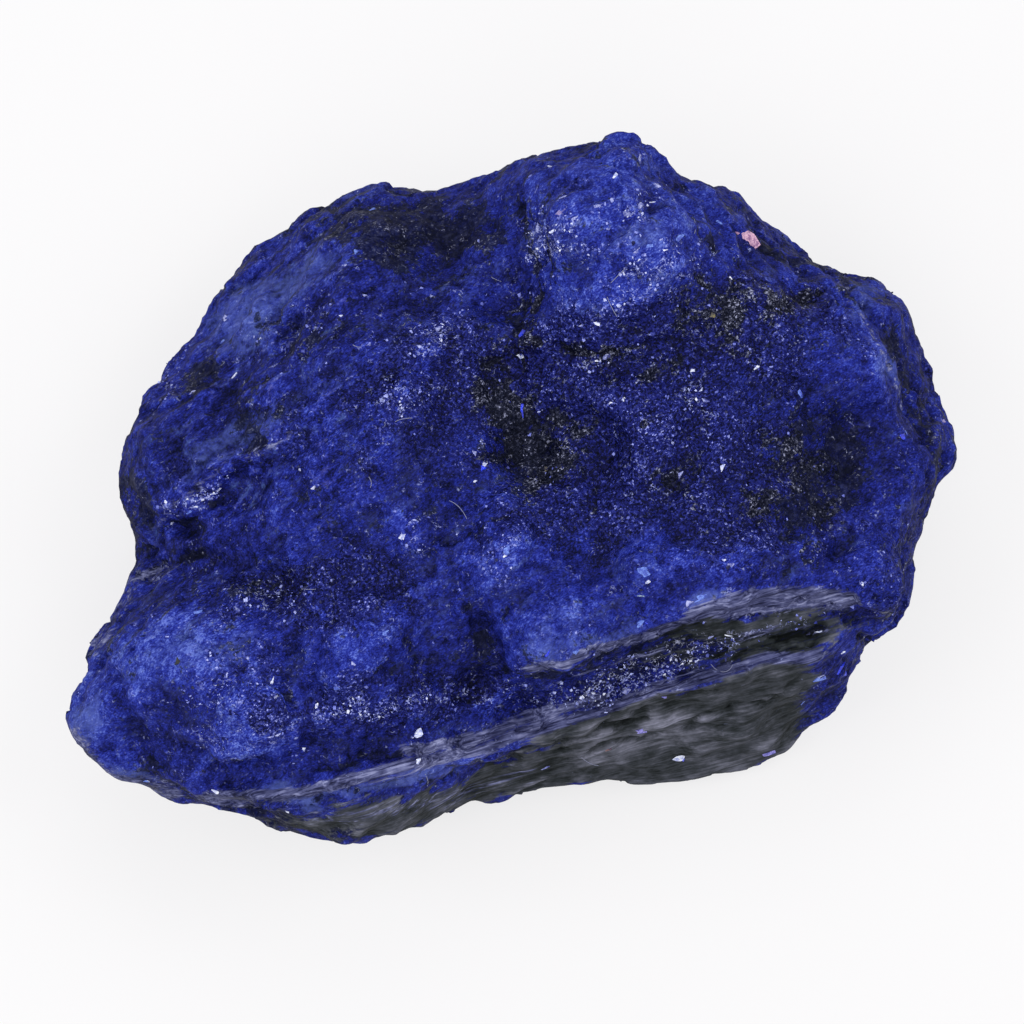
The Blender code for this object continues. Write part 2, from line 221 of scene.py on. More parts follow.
# The small lumps and dips of the broad face, by how far they stand out in mm.
SWELLS = patches(
    # front knob
    (1.3, -4.1, 1.8, 1.35, 10, 0.42), (-0.8, -4.7, 0.7, 1.1, 0, -0.2), (3.8, -4.3, 0.9, 0.6, 0, -0.1),
    # crown
    (4.0, 12.1, 0.9, 0.7, 0, 0.3), (3.2, 8.6, 2.6, 2.2, 15, 0.25), (1.6, 9.6, 1.5, 0.9, 15, 0.26),
    (4.8, 9.2, 1.7, 0.8, 20, 0.3), (3.0, 10.7, 1.3, 0.35, 20, -0.15), (2.8, 8.3, 0.8, 0.35, 10, -0.1),
    (6.7, 9.3, 1.2, 0.4, -35, -0.15), (7.6, 8.0, 1.5, 0.6, 10, -0.1), (3.0, 6.7, 2.0, 0.8, 20, 0.26),
    # centre
    (0.7, 2.6, 1.1, 1.3, 0, -0.12), (3.8, 3.6, 1.6, 1.2, 0, 0.21), (6.4, 4.0, 0.8, 1.4, 15, 0.17),
    (7.4, 6.0, 2.2, 0.5, 14, -0.15), (-3.0, 5.6, 1.7, 0.8, 30, 0.21), (-0.2, -1.4, 0.8, 1.4, -10, 0.3),
    (4.3, -2.0, 1.1, 0.8, -20, 0.14), (6.8, -1.4, 1.2, 0.8, 0, 0.21), (-3.5, -0.7, 0.8, 1.0, -20, 0.3),
    (-1.9, -0.6, 0.4, 1.4, 0, -0.12), (2.0, -1.6, 0.5, 1.3, 10, -0.12), (5.6, -0.4, 0.5, 1.0, 0, -0.1),
    # lobes
    (-4.7, -4.3, 1.9, 1.5, 0, 0.45), (-8.6, -6.4, 1.8, 1.9, 0, 0.45), (-6.9, -5.6, 0.5, 1.8, 10, -0.2),
    (-2.6, -5.3, 0.8, 1.0, 20, -0.17), (-11.8, -4.9, 1.8, 1.4, 20, 0.35), (-14.0, -6.6, 0.9, 1.3, -15, 0.21),
    (-12.7, -7.2, 0.4, 1.5, 15, -0.12), (-11.0, -8.2, 1.4, 0.4, -20, -0.12),
    # left ledge
    (-9.8, 1.3, 2.6, 0.45, 32, 0.4), (-10.2, -0.2, 2.0, 0.4, 28, -0.2), (-7.0, 2.6, 1.6, 0.5, 32, -0.1),
    # upper left slope
    (-6.1, 8.3, 1.6, 0.8, 30, 0.26), (-8.8, 6.4, 1.5, 0.9, 45, 0.21), (-7.2, 6.2, 2.0, 0.4, 38, -0.12),
    (-9.6, 3.9, 0.6, 1.3, -20, -0.15), (-3.6, 9.4, 1.5, 0.6, 0, -0.15),
    # right crest
    (12.4, 4.6, 0.5, 1.6, 12, 0.26), (11.2, 7.0, 1.5, 0.5, -35, 0.21), (13.5, 3.8, 0.5, 1.8, 15, -0.15),
    (10.6, 3.4, 1.0, 1.4, 0, -0.12), (12.1, -2.6, 1.0, 1.6, 0, 0.26), (10.9, -1.9, 0.4, 1.6, 0, -0.17),
)

# The blue patches of the broad face that are lighter than the rest.
BRIGHT_PATCHES = patches(
    # crown
    (2.0, 9.5, 2.3, 1.5, 10, 0.6), (3.8, 9.4, 2.0, 1.3, 0, 0.15), (3.8, 11.4, 1.3, 1.0, 0, 1.1),
    (4.9, 9.1, 2.0, 1.0, 20, 0.55), (6.5, 10.0, 1.4, 0.8, -30, 0.55), (2.0, 6.7, 1.7, 1.0, 20, 0.6),
    (3.9, 7.4, 1.4, 0.9, 20, 0.5), (-0.6, 8.4, 0.8, 1.3, -20, 0.4), (-2.6, 6.2, 0.8, 0.8, 0, 0.35),
    # upper left slope
    (-6.2, 8.4, 1.7, 0.9, 30, 0.4), (-9.2, 6.2, 1.9, 1.1, 45, 0.75), (-11.3, 3.7, 1.0, 0.9, 0, 0.45),
    (-10.4, 0.4, 1.4, 0.45, 25, 0.4), (-7.4, 1.6, 1.5, 1.5, 0, 0.3), (-4.0, 3.4, 0.8, 0.6, 0, 0.35),
    # middle
    (-3.7, -0.7, 0.6, 1.0, -20, 0.6), (-0.2, -1.4, 0.6, 1.3, -15, 0.75), (-2.0, -2.2, 1.9, 1.5, 0, 0.25),
    (3.2, 2.8, 1.1, 0.8, 30, 0.3), (4.3, -2.0, 1.1, 0.8, -30, 0.45), (6.7, -1.2, 0.9, 0.8, 0, 0.4),
    # front knob
    (1.5, -3.8, 1.4, 1.3, 0, 0.8), (6.2, -3.0, 0.9, 0.35, 15, 0.7),
    # right crest
    (11.6, 7.0, 0.7, 1.0, -20, 0.55), (12.3, 5.0, 0.4, 1.8, 29, 0.75), (13.2, 2.8, 0.8, 1.1, 0, 0.45),
    (9.6, 6.6, 1.3, 1.3, 0, 0.1),
    # left lobe
    (-11.2, -4.4, 2.2, 1.0, 15, 1.25), (-11.5, -4.6, 1.5, 0.9, 20, 0.75), (-14.1, -6.4, 0.8, 1.2, -20, 0.7),
    (-5.2, -4.2, 1.4, 1.0, 0, 0.45), (-8.4, -6.8, 1.6, 1.2, 0, 0.55), (-7.4, -8.0, 1.7, 0.9, 10, 0.55),
    (-6.1, -6.0, 1.2, 1.0, 0, 0.55), (-9.2, -7.9, 1.3, 1.0, 0, 0.5), (-8.6, -4.7, 1.4, 0.8, 0, 0.5),
    (-13.2, -7.8, 1.0, 0.6, -40, 0.6),
    # front ledges and wall
    (9.4, -2.9, 1.6, 0.3, 0, 0.8), (-2.1, -8.4, 2.4, 0.3, 14, 0.7), (4.3, -7.6, 2.6, 0.7, 14, 1.5),
    (-3.2, -9.4, 2.0, 0.5, 14, 0.5), (7.2, -8.2, 1.4, 0.4, 20, 0.7), (3.0, -6.4, 2.0, 0.3, 14, 0.5),
)

# The places where the blue is deeper, but still blue.
DEEP_PATCHES = patches(
    (13.2, 1.6, 1.6, 2.6, 0, 0.6), (9.4, 3.6, 2.6, 2.4, 0, 0.35), (-5.4, 0.8, 3.4, 2.8, 0, 0.3),
    (-11.6, 1.8, 1.6, 1.6, 0, 0.4), (-2.2, -1.6, 1.2, 0.6, 0, 0.3), (-5.7, 6.2, 1.8, 2.2, 0, 0.45),
    (-9.3, 4.0, 0.8, 1.5, -20, 0.5), (3.3, 5.5, 1.8, 0.5, 0, 0.5), (5.6, 4.5, 1.0, 1.3, 0, 0.45),
    (7.4, 1.4, 1.3, 1.3, 0, 0.5), (2.3, 1.0, 0.7, 1.5, 0, 0.5), (-10.2, -1.3, 2.2, 0.6, 0, 0.55),
    (-6.6, -2.8, 1.4, 0.8, -20, 0.5), (-8.0, -3.5, 0.9, 0.7, 0, 0.4), (-2.4, -5.0, 1.5, 1.1, 0, 0.55),
    (-0.8, -4.2, 0.6, 1.0, 0, 0.5), (-11.3, -7.2, 1.2, 0.6, 0, 0.45), (-4.6, -7.8, 0.9, 0.4, 0, 0.45),
    (10.7, -6.0, 1.0, 0.9, 30, 0.9), (12.1, -2.8, 0.9, 1.5, 0, 0.45), (-11.1, 2.7, 1.2, 1.2, 0, 0.3),
    (8.6, 9.1, 1.3, 0.6, -40, 0.6), (-2.0, 4.9, 1.7, 1.4, 0, 0.35), (-2.4, 1.5, 1.8, 1.6, 0, 0.3),
    (5.0, 0.6, 1.6, 1.0, 0, 0.25), (8.4, -2.2, 1.2, 0.9, 0, 0.3), (2.6, -6.2, 2.6, 0.6, 12, 0.6),
)

# The places that are nearly black, with a yellowish cast.
OLIVE_PATCHES = patches(
    (0.7, 2.4, 1.6, 1.6, 0, 0.8), (-0.2, 3.6, 0.8, 1.4, 10, 0.6), (0.4, 6.0, 0.5, 1.0, -20, 0.5),
    (1.2, 1.0, 0.9, 0.7, 0, 0.4), (-3.8, 9.3, 2.8, 1.0, -8, 0.95), (-1.0, 9.6, 1.3, 0.9, 20, 0.5),
    (-2.6, 7.6, 1.8, 0.7, 30, 0.3), (6.8, 6.3, 1.9, 0.7, 14, 0.68), (9.0, 7.0, 1.0, 0.4, 10, 0.4),
    (6.9, 7.3, 1.6, 0.6, 8, 0.75), (-0.6, 5.4, 0.7, 1.1, 0, 0.5), (6.0, 5.0, 2.6, 0.3, 16, 0.4),
    (10.4, 1.8, 1.6, 2.0, 20, 0.95), (8.6, 0.1, 2.0, 0.6, -4, 0.7), (9.5, -1.3, 1.0, 0.9, 0, 0.45),
    (5.6, 1.4, 1.0, 0.8, 0, 0.35), (13.4, 3.8, 0.5, 1.9, 18, 0.6), (-12.5, 0.4, 0.5, 1.8, 0, 0.7),
    (-10.2, 4.3, 0.6, 1.2, -30, 0.7), (-9.0, 3.5, 0.6, 0.8, 0, 0.5), (-6.6, 6.0, 1.2, 0.5, 30, 0.5),
    (-5.2, 5.0, 1.3, 0.4, 30, 0.4), (-4.9, 7.9, 1.4, 0.5, 40, 0.35), (-8.0, 3.4, 1.8, 0.4, 30, 0.35),
    (-8.8, -2.6, 2.0, 0.5, 5, 0.4), (-0.9, -4.5, 0.7, 0.7, 0, 0.4), (-2.8, -5.3, 1.0, 0.8, 0, 0.4),
    (-10.6, -6.6, 0.4, 0.6, 0, 0.4), (4.6, -4.9, 3.6, 0.4, 16, 0.6), (8.6, -4.1, 3.0, 0.4, 9, 0.5),
    (2.2, -6.2, 2.2, 0.35, 16, 0.4), (-7.2, -10.3, 2.6, 0.4, -14, 0.7), (-4.8, -10.2, 3.4, 0.5, 8, 0.6),
    (-12.3, -8.4, 0.8, 0.4, -30, 0.3), (2.9, 5.3, 1.6, 0.3, 0, 0.6),
)

# The greyish fibrous edges of the front ledges, and the veil along the left edge.
FIBRE_BANDS = bands(
    (((0.5, -5.2), (1.8, -5.0), (2.9, -4.5), (4.8, -4.0), (6.4, -3.4)), 0.22, 0.8),
    (((6.0, -3.4), (8.0, -2.95), (9.7, -2.85), (11.2, -2.9)), 0.42, 1.0),
    (((2.0, -5.5), (3.6, -4.95), (5.2, -4.5)), 0.14, 0.5),
    (((6.8, -4.4), (8.6, -4.0), (10.4, -3.9)), 0.3, 0.45),
    (((4.6, -5.9), (6.5, -5.4), (8.6, -4.9), (10.2, -4.8)), 0.3, 0.8),
    (((-10.2, -9.5), (-7.9, -9.5), (-6.1, -9.1), (-3.7, -8.5), (-1.1, -7.9), (1.4, -7.1),
       (4.6, -6.0)), 0.28, 0.85),
    (((-3.6, -8.0), (-1.0, -7.5), (1.2, -6.7), (3.0, -6.2)), 0.3, 0.75),
    (((-6.6, -10.0), (-4.8, -10.2), (-2.4, -9.6), (0.6, -8.7)), 0.5, 0.4),
    (((-13.9, -4.6), (-13.4, -3.4), (-12.5, -2.2), (-11.4, -1.9)), 0.45, 0.5),
    (((-12.0, -0.5), (-10.9, 0.6), (-9.4, 1.7), (-7.4, 2.6)), 0.25, 0.45),
    (((-14.7, -7.4), (-13.8, -8.7), (-12.6, -9.1), (-11.2, -9.4)), 0.4, 0.7),
    (((11.1, 7.4), (11.9, 6.2), (12.6, 4.8), (13.0, 3.4)), 0.11, 0.5),
)

# The cracks and steps on the broad face. They are also painted nearly black, partly the stone's own dark
# colour and partly painted shade in the cracks.
CRACKS = bands(
    # crown lip
    (((0.5, 5.7), (1.6, 5.2), (2.6, 5.5), (3.9, 5.4), (5.9, 5.8), (7.3, 6.6), (8.6, 7.0),
       (10.4, 7.1)), 0.13, 0.8),
    # centre cleft
    (((0.2, 6.5), (0.2, 5.6), (0.3, 4.7), (0.4, 3.7), (0.7, 2.7), (1.1, 1.7)), 0.16, 0.9),
    (((2.2, 4.0), (2.3, 3.1), (2.3, 2.1), (2.6, 1.1), (2.7, 0.0)), 0.14, 0.8),
    (((5.6, 5.4), (5.6, 4.6), (5.7, 3.8)), 0.14, 0.7),
    (((-3.7, 4.6), (-2.9, 4.8), (-2.0, 5.1), (-0.4, 5.2)), 0.12, 0.5),
    (((-1.4, -0.7), (-0.7, -0.5), (0.2, -0.3)), 0.14, 0.7),
    # crown's left side
    (((0.2, 10.0), (0.5, 9.0), (0.9, 8.2), (1.0, 7.4), (0.7, 6.6), (0.3, 5.9)), 0.17, 1.0),
    (((6.2, 9.1), (7.0, 8.7), (7.8, 8.3)), 0.14, 0.7),
    # left ledge
    (((-11.5, -0.8), (-10.9, -0.3), (-10.2, 0.2), (-9.6, 0.7)), 0.13, 1.0),
    (((-12.4, -2.1), (-11.8, -1.8), (-10.9, -1.6), (-9.9, -1.6)), 0.13, 1.0),
    (((-9.3, 1.6), (-8.8, 1.9), (-8.3, 2.4)), 0.12, 0.6),
    (((-12.1, 0.0), (-12.0, -0.8), (-12.1, -1.5)), 0.18, 0.9),
    # crest
    (((8.3, 8.9), (9.6, 8.3), (10.7, 8.1), (11.5, 7.1), (12.4, 6.1), (13.1, 4.7), (13.7, 3.1),
       (14.1, 2.0)), 0.16, 0.7),
    (((-7.2, -4.5), (-7.5, -5.3), (-7.3, -6.3), (-7.1, -7.0)), 0.14, 0.7),
    (((-3.6, -4.3), (-3.1, -5.1), (-2.2, -5.9), (-1.4, -6.3)), 0.16, 0.7),
    (((-12.2, -8.3), (-11.5, -8.7), (-10.9, -9.3)), 0.14, 0.6),
    # under the knob
    (((-0.3, -5.2), (0.5, -5.5), (1.8, -5.3), (3.1, -4.8)), 0.14, 1.0),
    (((-0.5, -4.3), (-0.4, -3.6), (0.0, -3.0)), 0.12, 0.7),
    # under the upper ledge
    (((3.1, -4.7), (4.6, -4.3), (6.5, -3.7), (8.3, -3.4), (9.8, -3.1), (11.1, -3.3)), 0.13, 1.0),
    (((4.3, -5.3), (6.3, -4.6), (8.3, -4.2), (10.3, -3.9)), 0.10, 0.8),
    (((2.9, -6.3), (4.6, -5.7), (6.5, -5.1), (8.4, -4.6), (9.9, -4.3)), 0.10, 0.8),
    # above the lower ledge
    (((-7.1, -8.8), (-5.1, -8.3), (-3.1, -8.0), (-1.1, -7.5), (0.9, -6.9)), 0.12, 0.8),
    # under the lower ledge
    (((-10.0, -9.8), (-8.1, -9.8), (-6.1, -9.4), (-3.7, -9.0), (-1.1, -8.4), (1.6, -7.7),
       (4.3, -6.9)), 0.12, 0.9),
    (((1.6, -8.3), (4.3, -7.6), (6.9, -6.7), (9.3, -5.9)), 0.09, 0.6),
    (((2.9, -6.9), (4.9, -6.4), (6.9, -5.9)), 0.09, 0.6),
    (((12.0, -4.3), (11.6, -4.1), (11.3, -3.7), (11.3, -2.9)), 0.14, 1.0),
    (((11.0, -1.6), (11.3, -0.6), (11.1, 0.4)), 0.14, 0.6),
    (((-5.1, -3.9), (-4.7, -4.6), (-4.9, -5.5)), 0.13, 0.5),
    (((-9.0, 7.1), (-8.3, 6.3), (-7.4, 6.1), (-6.4, 6.3)), 0.14, 0.5),
    (((-10.5, 3.1), (-9.6, 3.7), (-8.5, 4.4), (-7.1, 5.3)), 0.13, 0.6),
    (((4.3, -1.1), (5.0, -1.6), (5.2, -2.6)), 0.12, 0.5),
    (((-1.5, -2.9), (-1.1, -3.9), (-1.2, -4.9)), 0.13, 0.5),
)

# The dull grey wall below the front ledges, with a green cast.
WALL_PATCHES = patches(
    (-5.4, -10.5, 2.8, 0.45, -4, 0.6), (5.0, -6.9, 4.8, 0.9, 15, 0.6), (3.2, -7.9, 3.2, 0.95, 16),
    (7.2, -7.2, 2.8, 1.4, 22, 1.1), (7.0, -3.6, 3.2, 0.3, 9, 0.8), (-1.6, -9.5, 2.8, 0.6, 16, 0.8),
    (-5.2, -10.0, 2.6, 0.5, 4, 0.5), (8.8, -4.4, 3.2, 0.6, 12, 0.85), (3.0, -5.5, 2.2, 0.3, 14, 0.3),
    (9.4, -5.2, 1.2, 0.5, 20, 0.5), (7.2, -4.0, 3.6, 0.35, 11, 0.7), (7.0, -8.3, 2.8, 0.7, 18, 0.9),
    (3.0, -8.7, 3.0, 0.6, 8, 0.9), (4.4, -6.4, 3.0, 0.35, 15, 0.6),
)

# The places where most painted glints lie, and where most fine crystals are sown.
GLINT_PATCHES = patches(
    (-9.6, -6.2, 0.8, 1.2, 10, 0.6), (-7.9, -7.5, 1.0, 0.5, 0, 0.5), (-10.3, -7.5, 0.4, 0.4, 0, 0.8),
    (-4.9, -6.6, 1.9, 0.4, 6, 0.95), (-1.3, -6.0, 2.0, 0.35, 6, 0.85), (2.4, -5.9, 1.6, 0.45, 12, 0.7),
    (-8.0, -3.0, 1.6, 0.7, 10, 0.45), (1.3, 9.4, 0.9, 0.9, 0, 0.65), (3.0, 10.0, 2.2, 0.4, 16, 0.5),
    (0.9, 8.4, 0.5, 0.8, 20, 0.6), (4.3, 9.9, 0.7, 0.35, 25), (2.0, 8.6, 2.0, 0.3, 12, 0.6),
    (4.6, 8.0, 1.8, 0.7, 15, 0.7), (-2.4, 6.1, 1.3, 0.7, 25, 0.7), (-3.4, 3.9, 1.3, 0.9, 20, 0.6),
    (-10.6, 0.6, 1.2, 0.25, 30, 1.3), (6.4, 3.5, 0.5, 0.9, 25, 0.8), (3.1, 5.2, 1.2, 0.3, 14, 0.9),
    (-3.3, -0.6, 0.5, 0.7, 0, 0.6), (-0.2, -1.3, 0.5, 0.9, 0, 0.6), (11.9, -2.2, 0.8, 1.4, 0, 0.15),
    (5.4, -4.8, 3.0, 0.5, 14), (3.4, -6.0, 1.6, 0.4, 14, 0.8), (8.6, -3.9, 1.6, 0.3, 10, 1.1),
    (-11.6, 4.4, 0.6, 0.9, 0, 0.4), (-7.4, 6.0, 1.3, 0.6, 30, 0.35),
)

# The places that are all fine sugary grains, and not smooth.
SUGAR_PATCHES = patches(
    (0.4, 4.6, 2.4, 1.8, 0), (2.4, 2.2, 3.4, 2.6, 0), (6.0, 4.6, 3.4, 2.6, 0), (8.0, 6.4, 2.6, 1.3, 5, 0.9),
    (6.6, 1.0, 3.4, 2.0, 0, 0.8), (1.6, -0.4, 2.6, 1.2, 0, 0.7), (3.0, 6.4, 2.6, 0.9, 15, 0.7),
    (-2.6, 4.6, 2.0, 2.0, 0, 0.7), (-7.4, -2.7, 3.2, 0.9, 8, 0.85), (-8.6, -6.4, 1.4, 1.5, 0, 0.45),
    (-3.4, -6.4, 3.6, 0.9, 6, 0.8), (12.6, -2.2, 1.2, 2.0, 0, 0.3), (8.0, -1.0, 2.2, 1.0, 0, 0.5),
    (-4.6, -2.6, 2.0, 1.4, 0, 0.5), (2.0, 9.4, 2.2, 1.0, 0, 0.1), (-6.0, 2.6, 2.4, 1.8, 0, 0.35),
)

# The places that are milky, and paler.
MILK_PATCHES = patches(
    (1.4, -4.6, 1.4, 0.6, 12, 0.5), (1.0, -3.6, 1.1, 1.0, 0, 0.35), (3.4, -3.9, 1.2, 0.5, 14, 0.5),
    (6.3, -2.9, 1.0, 0.35, 14, 0.9), (-14.2, -6.8, 0.6, 1.3, -15, 0.8), (-12.8, -8.8, 1.5, 0.4, -25, 0.8),
    (-12.0, -5.0, 1.4, 0.7, 30, 0.4), (-9.8, -4.6, 1.6, 0.5, 15, 0.5), (-8.8, 6.6, 2.0, 1.1, 45, 0.7),
    (-6.3, 8.3, 1.6, 0.7, 30, 0.55), (-9.6, 2.4, 2.4, 0.5, 30, 0.6), (-6.4, 4.2, 2.0, 0.4, 32, 0.35),
    (-5.6, 10.2, 0.8, 0.6, 30, 0.5), (1.2, 9.0, 0.9, 0.9, 0, 0.5), (4.1, 9.0, 1.5, 0.6, 20, 0.55),
    (4.0, 11.4, 0.8, 0.6, 0, 0.35), (2.3, 6.6, 1.2, 0.5, 35, 0.5), (-1.2, 7.6, 1.4, 0.6, 40, 0.4),
    (11.8, 7.0, 0.5, 1.0, -15, 0.6), (12.6, 4.9, 0.4, 1.1, 15, 0.6), (8.9, 9.5, 1.2, 0.35, -38, 0.5),
    (-3.8, -8.9, 2.4, 0.3, 14, 0.9), (-7.3, -9.3, 1.2, 0.35, 0), (-0.6, -1.6, 0.7, 1.0, 0, 0.3),
    (4.2, -2.2, 1.3, 0.7, 10, 0.35),
)

# The places with long soft streaks that rise to the right.
SLOPE_PATCHES = patches(
    (-7.6, 5.4, 5.4, 4.6, 40), (-10.0, 0.6, 3.4, 2.0, 25), (-12.2, -3.2, 1.6, 1.6, 40),
)


class Tint(Enum):
    """What a single crystal is like."""

    WHITE = "white"
    FROST = "frost"
    ROSE_FROST = "rose frost"
    GREEN_FROST = "green frost"
    PALE_BLUE = "pale blue"
    BRIGHT_BLUE = "bright blue"
    VIOLET = "violet"
    ROSE = "rose"
    HONEY = "honey"
    RUST = "rust"
    PITCH = "pitch"


class Crystal(NamedTuple):
    """A single crystal: its place on the broad face, its length and width in mm, its turn and its tint."""

    u: float
    v: float
    long: float
    wide: float
    turn: float
    tint: Tint


WHITE, FROST, ROSE_FROST, GREEN_FROST, PALE_BLUE, BRIGHT_BLUE, VIOLET, ROSE, HONEY, RUST, PITCH = Tint


def crystals(*rows: tuple[Any, ...]) -> tuple[Crystal, ...]:
    """The crystals whose sizes, turns and tints the rows give."""
    return tuple(Crystal(*row) for row in rows)
